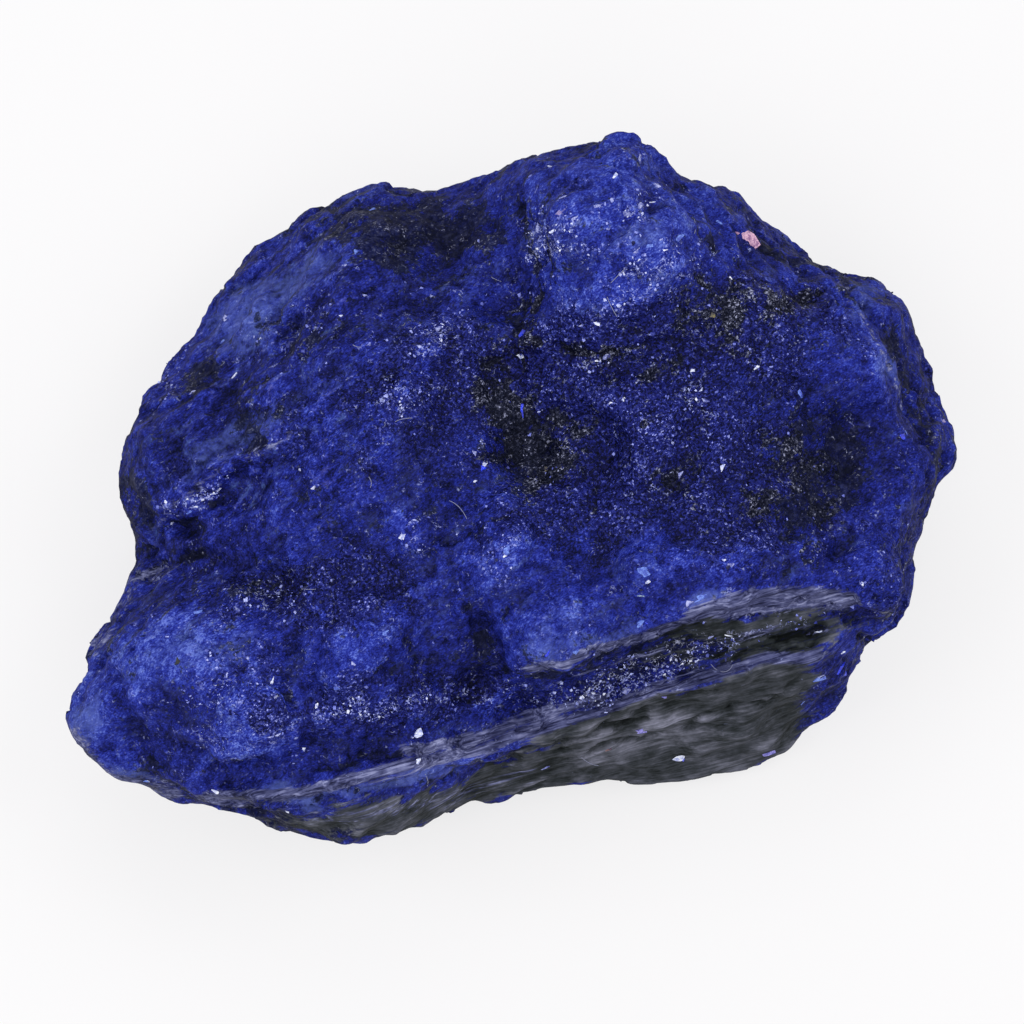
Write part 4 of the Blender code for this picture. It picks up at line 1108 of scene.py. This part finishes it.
@dataclass(frozen=True)
class FloorFinish:
    """The plain, nearly white surface the stone lies on, lit a little from within."""

    colour: Colour = (0.2, 0.198, 0.202)
    glow: float = 0.72

    def make(self, name: str) -> bpy.types.Material:
        """The finish as a material.

        Args:
            name: The material's name.

        Returns:
            The material.
        """
        bench = Bench(name)
        bench.feed(
            bench.shader,
            {
                "Base Color": self.colour,
                "Roughness": 0.9,
                "Specular IOR Level": 0.1,
                "Emission Color": (1.0, 0.995, 1.0),
                "Emission Strength": self.glow,
            },
        )
        return bench.material


# ---------------------------------------------------------------------------------------------
# Pieces.
# ---------------------------------------------------------------------------------------------


def deselect() -> None:
    """Leaves object mode with nothing selected."""
    if bpy.context.mode != "OBJECT":
        bpy.ops.object.mode_set(mode="OBJECT")
    bpy.ops.object.select_all(action="DESELECT")


def choose(piece: bpy.types.Object) -> None:
    """Selects one piece alone, and makes it the active one.

    Args:
        piece: The piece.
    """
    deselect()
    piece.select_set(True)
    bpy.context.view_layer.objects.active = piece


def add_object(name: str, data: bpy.types.ID) -> bpy.types.Object:
    """Adds a new object to the scene.

    Args:
        name: The object's name.
        data: Its mesh, curve, light or camera.

    Returns:
        The object.
    """
    piece = bpy.data.objects.new(name, data)
    bpy.context.scene.collection.objects.link(piece)
    return piece


def modify(piece: bpy.types.Object, kind: str, **settings: Any) -> None:
    """Adds a modifier to a piece and applies it.

    Args:
        piece: The piece.
        kind: The modifier's type.
        **settings: What is set on the modifier.
    """
    choose(piece)
    modifier = piece.modifiers.new(kind.title(), kind)
    for name, value in settings.items():
        setattr(modifier, name, value)
    bpy.ops.object.modifier_apply(modifier=modifier.name)


def corners_of(mesh: bpy.types.Mesh) -> Points:
    """The mesh's corners.

    Args:
        mesh: The mesh.

    Returns:
        A row of x, y and z for each corner.
    """
    flat = np.empty(len(mesh.vertices) * 3, np.float32)
    mesh.vertices.foreach_get("co", flat)
    return flat.reshape(-1, 3).astype(float)


def normals_of(mesh: bpy.types.Mesh) -> Points:
    """The mesh's normals at its corners.

    Args:
        mesh: The mesh.

    Returns:
        A row of x, y and z for each corner.
    """
    flat = np.empty(len(mesh.vertices) * 3, np.float32)
    mesh.vertex_normals.foreach_get("vector", flat)
    return flat.reshape(-1, 3).astype(float)


def set_corners(mesh: bpy.types.Mesh, corners: Points) -> None:
    """Puts the mesh's corners where the rows say."""
    mesh.vertices.foreach_set("co", corners.astype(np.float32).ravel())
    mesh.update()


def paint(mesh: bpy.types.Mesh, name: str, values: Points) -> None:
    """Paints a value on each corner of a mesh, under that name."""
    layer = mesh.attributes.new(name, "FLOAT", "POINT")
    layer.data.foreach_set("value", values.astype(np.float32))


def finish_piece(piece: bpy.types.Object, material: bpy.types.Material) -> None:
    """Dresses a piece, lets it ride on the stone and reports it.

    Args:
        piece: The piece, whole and in place.
        material: What it is dressed in.
    """
    piece.data.materials.clear()
    piece.data.materials.append(material)
    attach(piece, "root")
    log.info("%s: %d faces", piece.name, len(piece.data.polygons))


class Relief(NamedTuple):
    """One layer of fine relief: a texture's type, its grain and depth in mm, and its settings."""

    kind: str
    grain: float
    depth: float
    settings: dict[str, Any]


@dataclass
class StoneSkin:
    """The stone's fine surface, made on a copy of its solid."""

    node: str = "rough_sapphire"
    voxel: float = 0.155
    smoothing: int = 6
    calm: float = 0.75
    crack_depth: float = 0.28
    comb_depth: float = 0.035
    fold_depth: float = 0.12
    facet_sizes: tuple[tuple[float, float], ...] = ((1.4, 0.13), (0.62, 0.035))
    facet_tilt: float = 2.2
    crease_depth: float = 0.6
    crease_width: float = 0.14
    lots: int = 4093
    hollow_reaches: tuple[tuple[int, float], ...] = ((16, 0.14), (150, 0.5))
    reliefs: tuple[Relief, ...] = (
        Relief("CLOUDS", 1.5, 0.26, {"noise_depth": 2}),
        Relief("CLOUDS", 0.6, 0.06, {"noise_depth": 2, "noise_type": "HARD_NOISE"}),
    )
    values: dict[str, Points] = field(default_factory=dict)

    def build(self) -> bpy.types.Object:
        """Makes and paints the skin.

        Returns:
            The skin, dressed, standing for the solid.
        """
        piece = self.copy_of_solid()
        modify(piece, "REMESH", mode="VOXEL", voxel_size=self.voxel)
        modify(piece, "SMOOTH", factor=0.5, iterations=self.smoothing)
        fibrous, _ = self.fibrous(corners_of(piece.data), normals_of(piece.data))
        group = piece.vertex_groups.new(name="rough")
        for number, share in enumerate(np.clip(1.0 - self.calm * fibrous, 0.0, 1.0).tolist()):
            group.add([number], share, "REPLACE")
        for relief in self.reliefs:
            self.roughen(piece, relief)
        piece.vertex_groups.clear()
        self.carve(piece.data)
        self.comb(piece.data)
        self.paint_all(piece.data)
        piece.data.transform(CARVING.to_world())
        corners = corners_of(piece.data)
        corners[:, 2] = np.maximum(corners[:, 2], 0.0)
        set_corners(piece.data, corners)
        piece.data.shade_smooth()
        finish_piece(piece, StoneFinish().make("sapphire_stone"))
        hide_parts(self.node)
        return piece

    def copy_of_solid(self) -> bpy.types.Object:
        """Copies and merges the solid.

        Returns:
            The copy, in the carving frame and in millimetres.
        """
        piece = add_object("stone_skin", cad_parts[self.node].data.copy())
        piece.data.transform(CARVING.to_world().inverted())
        choose(piece)
        bpy.ops.object.mode_set(mode="EDIT")
        bpy.ops.mesh.select_all(action="SELECT")
        bpy.ops.mesh.remove_doubles(threshold=0.0005)
        bpy.ops.object.mode_set(mode="OBJECT")
        return piece

    def roughen(self, piece: bpy.types.Object, relief: Relief) -> None:
        """Raises one layer of relief on the skin.

        Args:
            piece: The skin.
            relief: The layer's texture, with its grain and its depth.
        """
        texture = bpy.data.textures.new("relief", relief.kind)
        texture.noise_scale = relief.grain
        for name, value in relief.settings.items():
            setattr(texture, name, value)
        modify(
            piece,
            "DISPLACE",
            texture=texture,
            texture_coords="LOCAL",
            strength=relief.depth,
            mid_level=0.5,
            vertex_group="rough",
        )
        bpy.data.textures.remove(texture)

    def comb(self, mesh: bpy.types.Mesh) -> None:
        """Raises long thin layers where the stone is fibrous, and long low folds on its left slope.

        Args:
            mesh: The skin's mesh.
        """
        corners, normals = corners_of(mesh), normals_of(mesh)
        fibrous, sloping = self.fibrous(corners, normals)
        layered = self.comb_depth * fibrous * self.layers(corners, 16.0, 0.96, 0.6)
        folded = self.fold_depth * sloping * self.layers(corners, 36.0, 0.75, 0.9)
        set_corners(mesh, corners + normals * (layered + folded)[:, None])

    def layers(self, corners: Points, angle: float, stretch: float, size: float) -> Points:
        """Noise drawn out along one direction of the broad face.

        Args:
            corners: Where the noise is wanted, in mm.
            angle: The direction, in degrees from u.
            stretch: How far it is drawn out, from 0 to nearly 1.
            size: How wide the layers are, in mm.

        Returns:
            One value for each corner.
        """
        along = np.array([math.cos(math.radians(angle)), math.sin(math.radians(angle)), 0.0])
        return noise_at(corners - np.outer(corners @ along, along) * stretch, size, angle, 3)

    def fibrous(self, corners: Points, normals: Points) -> tuple[Points, Points]:
        """Where the stone is fibrous, and where it has long folds.

        Args:
            corners: The skin's corners, in mm.
            normals: The skin's normals at them.

        Returns:
            How fibrous the stone is and how much it folds, from 0 to about 1, at each corner.
        """
        seen = CARVING.plan(corners)
        facing = smooth_step(-0.2, 0.2, normals[:, 2])
        front = smooth_step(-0.2, -0.7, normals[:, 1]) * (1.0 - facing) * 0.8
        cover = np.maximum(band_cover(seen, FIBRE_BANDS), np.clip(patch_cover(seen, WALL_PATCHES), 0, 1))
        return cover * facing + front, patch_cover(seen, SLOPE_PATCHES) * facing + 0.5 * (1.0 - facing)

    def carve(self, mesh: bpy.types.Mesh) -> None:
        """Raises the small lumps of the broad face, and cuts its dips, cracks and facets.

        Args:
            mesh: The skin's mesh.
        """
        corners, normals = corners_of(mesh), normals_of(mesh)
        rise = patch_cover(self.swayed(corners, 0.6), SWELLS) - self.crack_depth * self.cracked(corners)
        rise = rise * smooth_step(-0.1, 0.35, normals[:, 2])
        fibrous, sloping = self.fibrous(corners, normals)
        blunt = (1.0 - 0.9 * np.clip(fibrous, 0.0, 1.0)) * (1.0 - 0.5 * np.clip(sloping, 0.0, 1.0))
        for size, height in self.facet_sizes:
            rise += height * blunt * self.facets(corners + 0.25 * size * self.jitter(corners, size), size)
        set_corners(mesh, corners + normals * rise[:, None])

    def jitter(self, corners: Points, size: float) -> Points:
        """Noise of that size in mm in all three directions."""
        return np.column_stack([noise_at(corners, 0.6 * size, shift, 2) for shift in (11.0, 21.0, 31.0)])

    def facets(self, corners: Points, size: float) -> Points:
        """Blunt tilted facets with creases between them.

        Args:
            corners: Where the facets are wanted, in mm.
            size: About how wide a facet is, in mm.

        Returns:
            How far each corner stands out, from about -1 to 1.
        """
        lots = np.random.default_rng(17).random((self.lots, 6))
        spots = corners / size
        home = np.floor(spots).astype(int)
        nearest, second = np.full(len(corners), np.inf), np.full(len(corners), np.inf)
        height = np.zeros(len(corners))
        for step in product((-1, 0, 1), repeat=3):
            cell = home + step
            lot = lots[(cell @ (731, 1933, 8349)) % self.lots]
            gap = spots - cell - lot[:, :3]
            away = np.linalg.norm(gap, axis=1)
            closer = away < nearest
            second = np.where(closer, nearest, np.minimum(second, away))
            nearest = np.where(closer, away, nearest)
            tilt = np.einsum("ij,ij->i", lot[:, 3:] - 0.5, gap) * self.facet_tilt
            height = np.where(closer, tilt + lot[:, 3] - 0.5, height)
        return height - self.crease_depth * np.exp(-(second - nearest) / self.crease_width)

    def swayed(self, corners: Points, sway: float) -> Points:
        """Where the corners seem to lie on the broad face, moved about by noise of that many mm."""
        shifts = [noise_at(corners, 1.2, shift, 3) for shift in (25.0, 35.0)]
        return CARVING.plan(corners) + sway * np.column_stack(shifts)

    def cracked(self, corners: Points) -> Points:
        """How much of a crack there is at each corner: the cracks come and go along their lines."""
        come_and_go = smooth_step(-0.5, 0.15, noise_at(corners, 0.8, 55.0, 2))
        return band_cover(self.swayed(corners, 0.3), CRACKS) * come_and_go

    def paint_all(self, mesh: bpy.types.Mesh) -> None:
        """Paints where the stone is light, dark, milky, sugary, fibrous, dull or glittering with painted
        glints, and its painted shade in hollows and on steep faces.

        Args:
            mesh: The skin's mesh.
        """
        corners, normals = corners_of(mesh), normals_of(mesh)
        sway = np.column_stack([noise_at(corners, 1.5, shift, 3) for shift in (5.0, 15.0)])
        seen = CARVING.plan(corners) + 0.55 * sway
        facing = smooth_step(-0.2, 0.2, normals[:, 2])
        hidden = 1.0 - facing
        steep = smooth_step(0.5, 0.05, normals[:, 2]) * facing
        broad, second, third = (noise_at(corners, 3.4, shift, 3) for shift in (60.0, 80.0, 100.0))
        front = smooth_step(-0.35, -0.75, normals[:, 1])
        fibres = band_cover(CARVING.plan(corners) + 0.16 * sway, FIBRE_BANDS)
        # Along the cracks the stone is painted nearly black: partly its own dark colour, partly painted shade
        # in them.
        olive = np.maximum(patch_cover(seen, OLIVE_PATCHES), 0.95 * self.cracked(corners))
        sides = {
            "tone": (patch_cover(seen, BRIGHT_PATCHES) - patch_cover(seen, DEEP_PATCHES), 1.3 * broad),
            "olive": (olive, smooth_step(0.1, 0.6, second)),
            "sugar": (patch_cover(seen, SUGAR_PATCHES), smooth_step(-0.1, 0.5, third)),
            "milk": (patch_cover(seen, MILK_PATCHES), 0.5 * smooth_step(0.3, 0.9, broad)),
            "fibre": (fibres, smooth_step(0.35, 0.8, -second)),
            "wall": (patch_cover(seen, WALL_PATCHES), front * 0.8 + smooth_step(0.4, 0.9, -third)),
            "glint": (patch_cover(seen, GLINT_PATCHES), 0.4 * smooth_step(0.2, 0.8, third)),
            "slope": (patch_cover(seen, SLOPE_PATCHES), 0.6),
        }
        values = {name: shown * facing + unseen * hidden for name, (shown, unseen) in sides.items()}
        # Painted shade: steep faces are painted darker and more olive.
        values["tone"] -= 0.5 * steep
        values["olive"] += 0.6 * steep
        # Painted shade in hollows and painted light on ridges.
        values["hollow"] = self.hollows(mesh, corners, normals)
        for name, value in values.items():
            self.values[name] = np.clip(value, -1.0, 1.5)
            paint(mesh, name, self.values[name])

    def hollows(self, mesh: bpy.types.Mesh, corners: Points, normals: Points) -> Points:
        """How deep each corner lies below what is round it, near and far, which is painted as shade in
        hollows and as light on ridges.

        Args:
            mesh: The skin's mesh.
            corners: Its corners, in mm.
            normals: Its normals at them.

        Returns:
            The depths, from -1 on a ridge to 1.5 deep in hollows.
        """
        ends = np.empty(len(mesh.edges) * 2, np.int32)
        mesh.edges.foreach_get("vertices", ends)
        start, end = ends.reshape(-1, 2).T
        size = len(corners)
        count = np.bincount(ends, minlength=size)
        smooth, depth = corners.copy(), np.zeros(size)
        for rounds, reach in self.hollow_reaches:
            for _ in range(rounds):
                for axis in range(3):
                    line = smooth[:, axis]
                    total = np.bincount(start, line[end], size) + np.bincount(end, line[start], size)
                    smooth[:, axis] = 0.5 * line + 0.5 * total / count
            depth += np.clip(np.einsum("ij,ij->i", smooth - corners, normals) / reach, -0.5, 0.75)
        return depth


def broken_block(breaks: Iterable[tuple[Sequence[float], Sequence[float]]]) -> tuple[Points, Points]:
    """A block a unit long, with faces broken off it.

    Args:
        breaks: A place on each break, and which way the break looks.

    Returns:
        The block's corners and its triangles.
    """
    deselect()
    bpy.ops.mesh.primitive_cube_add(size=1.0)
    block = bpy.context.object
    bpy.ops.object.mode_set(mode="EDIT")
    for place, looks in breaks:
        bpy.ops.mesh.select_all(action="SELECT")
        bpy.ops.mesh.bisect(plane_co=place, plane_no=looks, use_fill=True, clear_outer=True)
    bpy.ops.mesh.select_all(action="SELECT")
    bpy.ops.mesh.quads_convert_to_tris()
    bpy.ops.mesh.normals_make_consistent(inside=False)
    bpy.ops.object.mode_set(mode="OBJECT")
    corners = corners_of(block.data)
    faces = np.array([tuple(face.vertices) for face in block.data.polygons])
    bpy.data.objects.remove(block)
    return corners, faces


@dataclass
class GrainCoat:
    """Thousands of small crystals, sunk in the skin, in one piece."""

    name: str = "fine_crystals"
    count: int = 4500
    smallest: float = 0.05
    largest: float = 0.1
    sink: float = 0.3
    scatter: float = 0.03
    seed: int = 3
    sugar_share: float = 0.1
    stray_share: float = 0.003
    steep_share: float = 0.05
    breaks: tuple[tuple[Triple, Triple], ...] = (
        ((0.28, 0.28, 0.2), (1.0, 0.8, 0.6)),
        ((-0.3, 0.2, -0.28), (-0.9, 0.5, -0.9)),
    )

    def build(self, skin: bpy.types.Object, values: dict[str, Points]) -> None:
        """Sows the crystals on the skin.

        Args:
            skin: The stone's skin, in place.
            values: What is painted on the skin's corners.
        """
        rng = np.random.default_rng(self.seed)
        grain, faces = broken_block(self.breaks)
        corners, normals = corners_of(skin.data) / MM, normals_of(skin.data)
        weight = np.clip(values["glint"], 0.0, 1.2) + self.sugar_share * np.clip(values["sugar"], 0.0, 1.0)
        weight = weight + self.stray_share
        weight = weight * (0.03 + smooth_step(-0.1, 0.5, noise_at(corners, 0.6, 8.0, 2)))
        weight = weight * (1.0 - 0.8 * np.clip(values["wall"], 0.0, 1.0)) * (corners[:, 2] > 0.3)
        weight = weight * np.where(np.abs(normals[:, 2]) < 0.35, self.steep_share, 1.0)
        chosen = rng.choice(len(corners), self.count, replace=False, p=weight / weight.sum())
        sizes = self.smallest + (self.largest - self.smallest) * rng.random(self.count) ** 2
        shaped = grain[None] * (rng.uniform(0.3, 1.4, (self.count, 3)) * sizes[:, None])[:, None]
        turned = np.einsum("nij,nkj->nki", self.random_turns(rng), shaped)
        scatter = rng.normal(0.0, self.scatter, (self.count, 3))
        middles = corners[chosen] + scatter - normals[chosen] * self.sink * sizes[:, None]
        points = (turned + middles[:, None]).reshape(-1, 3)
        points[:, 2] = np.maximum(points[:, 2], 0.0)
        all_faces = (faces[None] + (np.arange(self.count) * len(grain))[:, None, None]).reshape(-1, 3)
        mesh = bpy.data.meshes.new(self.name)
        mesh.from_pydata((points * MM).tolist(), [], all_faces.tolist())
        # Painted highlight: grains where glints are painted are given a lighter colour.
        glint, tone = (np.clip(values[name][chosen], 0.0, 1.0) for name in ("glint", "tone"))
        lot = 0.15 + 0.6 * rng.random(self.count) + (0.3 * glint + 0.1 * tone)
        paint(mesh, "lot", np.repeat(lot, len(grain)))
        finish_piece(add_object(self.name, mesh), GrainFinish().make(self.name))

    def random_turns(self, rng: np.random.Generator) -> Points:
        """A random turn for each crystal.

        Args:
            rng: Where the random numbers come from.

        Returns:
            The turns, as 3 by 3 matrices.
        """
        w, x, y, z = rng.normal(size=(4, self.count))
        length = np.sqrt(w * w + x * x + y * y + z * z)
        w, x, y, z = w / length, x / length, y / length, z / length
        rows = [
            [1 - 2 * (y * y + z * z), 2 * (x * y - z * w), 2 * (x * z + y * w)],
            [2 * (x * y + z * w), 1 - 2 * (x * x + z * z), 2 * (y * z - x * w)],
            [2 * (x * z - y * w), 2 * (y * z + x * w), 1 - 2 * (x * x + y * y)],
        ]
        return np.moveaxis(np.array(rows), 2, 0)


class Ground:
    """The stone's skin, as something to lay things on."""

    def __init__(self, skin: bpy.types.Object) -> None:
        """Takes the skin.

        Args:
            skin: The stone's skin, in place.
        """
        mesh = skin.data
        self.tree = BVHTree.FromPolygons(
            [vertex.co.copy() for vertex in mesh.vertices], [tuple(face.vertices) for face in mesh.polygons]
        )

    def under(self, u: float, v: float) -> tuple[Vector, Vector]:
        """The place on the skin that the viewer sees at (u, v), and which way the skin looks there.

        Args:
            u: Where it seems to lie along the stone, in mm.
            v: Where it seems to lie across the stone, in mm.

        Returns:
            The place and the direction. Just off the stone's edge, they are those of the edge.
        """
        to_world = CARVING.to_world()
        eye = to_world @ CARVING.eye()
        place, normal = None, None
        while place is None:
            place, normal, _, _ = self.tree.ray_cast(eye, to_world @ Vector((u, v, CARVING.eye_level)) - eye)
            u, v = 0.99 * u, 0.99 * v
        return place, normal


@dataclass
class SetCrystals:
    """The crystals that stand out one by one, sunk in the skin, in one piece for each tint."""

    sink: float = 0.22
    break_reach: float = 0.34
    breaks: tuple[tuple[Triple, ...], ...] = (
        ((1.0, 1.0, 0.6), (-1.0, 0.5, 0.9), (0.3, -1.0, 0.8), (-0.7, -0.8, -0.6)),
        ((1.0, -0.7, 0.9), (-1.0, -0.9, 0.4), (-0.5, 1.0, 0.9), (0.9, 0.8, -0.5)),
        ((0.8, 0.9, 0.9), (-0.9, 0.8, -0.2), (-0.8, -0.7, 0.9), (0.7, -1.0, -0.4), (0.2, -0.2, -1.0)),
    )
    finishes: dict[Tint, CrystalFinish] = field(
        default_factory=lambda: {
            # Painted highlight: the near-white crystals partly stand for glints.
            Tint.WHITE: CrystalFinish(srgb(236, 240, 255), srgb(150, 160, 220), 0.2),
            Tint.FROST: CrystalFinish(srgb(172, 178, 228), srgb(62, 72, 160), 0.5),
            Tint.ROSE_FROST: CrystalFinish(srgb(176, 160, 205), srgb(84, 80, 158), 0.5),
            Tint.GREEN_FROST: CrystalFinish(srgb(150, 172, 186), srgb(70, 88, 150), 0.5),
            Tint.PALE_BLUE: CrystalFinish(srgb(110, 140, 226), srgb(52, 72, 178), 0.4),
            Tint.BRIGHT_BLUE: CrystalFinish(srgb(30, 62, 240), srgb(10, 20, 170), 0.25),
            Tint.VIOLET: CrystalFinish(srgb(150, 142, 226), srgb(84, 84, 176), 0.4),
            Tint.ROSE: CrystalFinish(srgb(226, 180, 206), srgb(140, 92, 142), 0.45),
            Tint.HONEY: CrystalFinish(srgb(128, 120, 84), srgb(52, 50, 60), 0.5),
            Tint.RUST: CrystalFinish(srgb(112, 62, 66), srgb(34, 24, 60), 0.5),
            Tint.PITCH: CrystalFinish(srgb(16, 20, 24), srgb(6, 8, 14), 0.3),
        }
    )

    def build(self, ground: Ground) -> None:
        """Sets the crystals in the skin.

        Args:
            ground: The skin, to lay things on.
        """
        all_looks = [[Vector(looks).normalized() for looks in cuts] for cuts in self.breaks]
        shapes = [broken_block((looks * self.break_reach, looks) for looks in cuts) for cuts in all_looks]
        for tint, finish in self.finishes.items():
            corners: list[tuple[float, ...]] = []
            faces: list[tuple[int, ...]] = []
            for number, crystal in enumerate(CRYSTALS):
                if crystal.tint is not tint:
                    continue
                place, normal = ground.under(crystal.u, crystal.v)
                points, triangles = shapes[number % len(shapes)]
                turned = self.lay(crystal, points, normal, number)
                faces += [tuple(len(corners) + index for index in triangle) for triangle in triangles]
                height = self.sink * crystal.wide * MM
                corners += [tuple(place + Vector(point) * MM - normal * height) for point in turned.tolist()]
            name = "crystals_" + tint.value.replace(" ", "_")
            mesh = bpy.data.meshes.new(name)
            mesh.from_pydata(corners, [], faces)
            finish_piece(add_object(name, mesh), finish.make(name))

    def lay(self, crystal: Crystal, points: Points, normal: Vector, number: int) -> Points:
        """One crystal's corners about its middle, in mm, lying as the face under it does.

        Args:
            crystal: Its sizes and turn.
            points: The corners of the shape that it is made from.
            normal: Which way the face under it looks.
            number: Its number, which rolls it about its length.

        Returns:
            The corners.
        """
        size = np.array([crystal.long, crystal.wide, 0.75 * min(crystal.wide, crystal.long)])
        roll = np.array(Matrix.Rotation(number * 2.4, 3, "X"))
        turn = math.radians(crystal.turn)
        along = CARVING.to_world().to_3x3() @ Vector((math.cos(turn), math.sin(turn), 0.0))
        along = (along - normal * along.dot(normal)).normalized()
        axes = np.column_stack([along, normal.cross(along), normal])
        return ((points @ roll.T) * size) @ axes.T


@dataclass
class DustFibres:
    """Fine textile fibres that lie on the stone."""

    thick: float = 0.024
    lift: float = 0.02

    def build(self, ground: Ground) -> None:
        """Lays the fibres on the skin.

        Args:
            ground: The skin, to lay things on.
        """
        curve = bpy.data.curves.new("dust_fibres", "CURVE")
        curve.dimensions = "3D"
        curve.bevel_depth = self.thick * MM / 2
        curve.bevel_resolution = 1
        curve.resolution_u = 6
        curve.use_fill_caps = True
        for line in FIBRES:
            spline = curve.splines.new("NURBS")
            spline.points.add(len(line) - 1)
            spline.use_endpoint_u = True
            spline.order_u = min(4, len(line))
            for point, (u, v) in zip(spline.points, line):
                place, normal = ground.under(u, v)
                point.co = (*(place + normal * self.lift * MM), 1.0)
        choose(add_object("dust_fibres", curve))
        bpy.ops.object.convert(target="MESH")
        finish_piece(bpy.context.object, DustFinish().make("dust"))


class Softbox(NamedTuple):
    """A square soft light that looks at the stone: its name, place and size in metres, and power in watts."""

    name: str
    place: Triple
    size: float
    power: float


@dataclass
class Studio:
    """The floor, the soft lights and the camera. The view's width is in millimetres at the stone."""

    floor_size: float = 3.0
    room_light: float = 0.55
    boxes: tuple[Softbox, ...] = (
        Softbox("left_softbox", (-0.22, -0.04, 0.26), 0.24, 0.42),
        Softbox("right_softbox", (0.22, 0.02, 0.26), 0.24, 0.36),
        Softbox("back_softbox", (-0.02, 0.22, 0.28), 0.22, 0.24),
        Softbox("front_softbox", (0.02, -0.22, 0.28), 0.22, 0.3),
    )
    sensor: float = 36.0
    view_width: float = 1024 / 30

    def build(self) -> None:
        """Sets the whole studio up."""
        self.floor()
        self.lights()
        self.camera()

    def floor(self) -> None:
        """A plain pale floor under the stone."""
        deselect()
        bpy.ops.mesh.primitive_plane_add(size=self.floor_size, location=(0.0, 0.0, 0.0))
        floor = bpy.context.object
        floor.name = "floor"
        floor.data.materials.append(FloorFinish().make("pale_floor"))

    def lights(self) -> None:
        """Large soft lights all round, and a little light from everywhere."""
        world = bpy.data.worlds.new("soft_room")
        bpy.context.scene.world = world
        world.use_nodes = True
        background = world.node_tree.nodes["Background"]
        background.inputs["Color"].default_value = (1.0, 1.0, 1.0, 1.0)
        background.inputs["Strength"].default_value = self.room_light
        for box in self.boxes:
            data = bpy.data.lights.new(box.name, "AREA")
            data.shape = "SQUARE"
            data.size = box.size
            data.energy = box.power
            lamp = add_object(box.name, data)
            lamp.location = box.place
            lamp.rotation_euler = (-Vector(box.place)).to_track_quat("-Z", "Y").to_euler()

    def camera(self) -> None:
        """The camera, square on to the broad face."""
        data = bpy.data.cameras.new("camera")
        camera = add_object("camera", data)
        data.sensor_width = self.sensor
        data.lens = self.sensor * CARVING.eye_distance / self.view_width
        data.clip_start = 0.01
        camera.location = CARVING.to_world() @ CARVING.eye()
        camera.rotation_euler = CARVING.outward().to_track_quat("Z", "Y").to_euler()
        bpy.context.scene.camera = camera
        bpy.context.scene.view_settings.view_transform = "Standard"


def main() -> None:
    """Builds the stone and the studio, in order."""
    logging.basicConfig(level=logging.INFO, format="%(name)s: %(message)s")
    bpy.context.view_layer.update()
    skin = StoneSkin()
    skin_piece = skin.build()
    GrainCoat().build(skin_piece, skin.values)
    ground = Ground(skin_piece)
    SetCrystals().build(ground)
    DustFibres().build(ground)
    Studio().build()


if __name__ == "__main__":
    main()
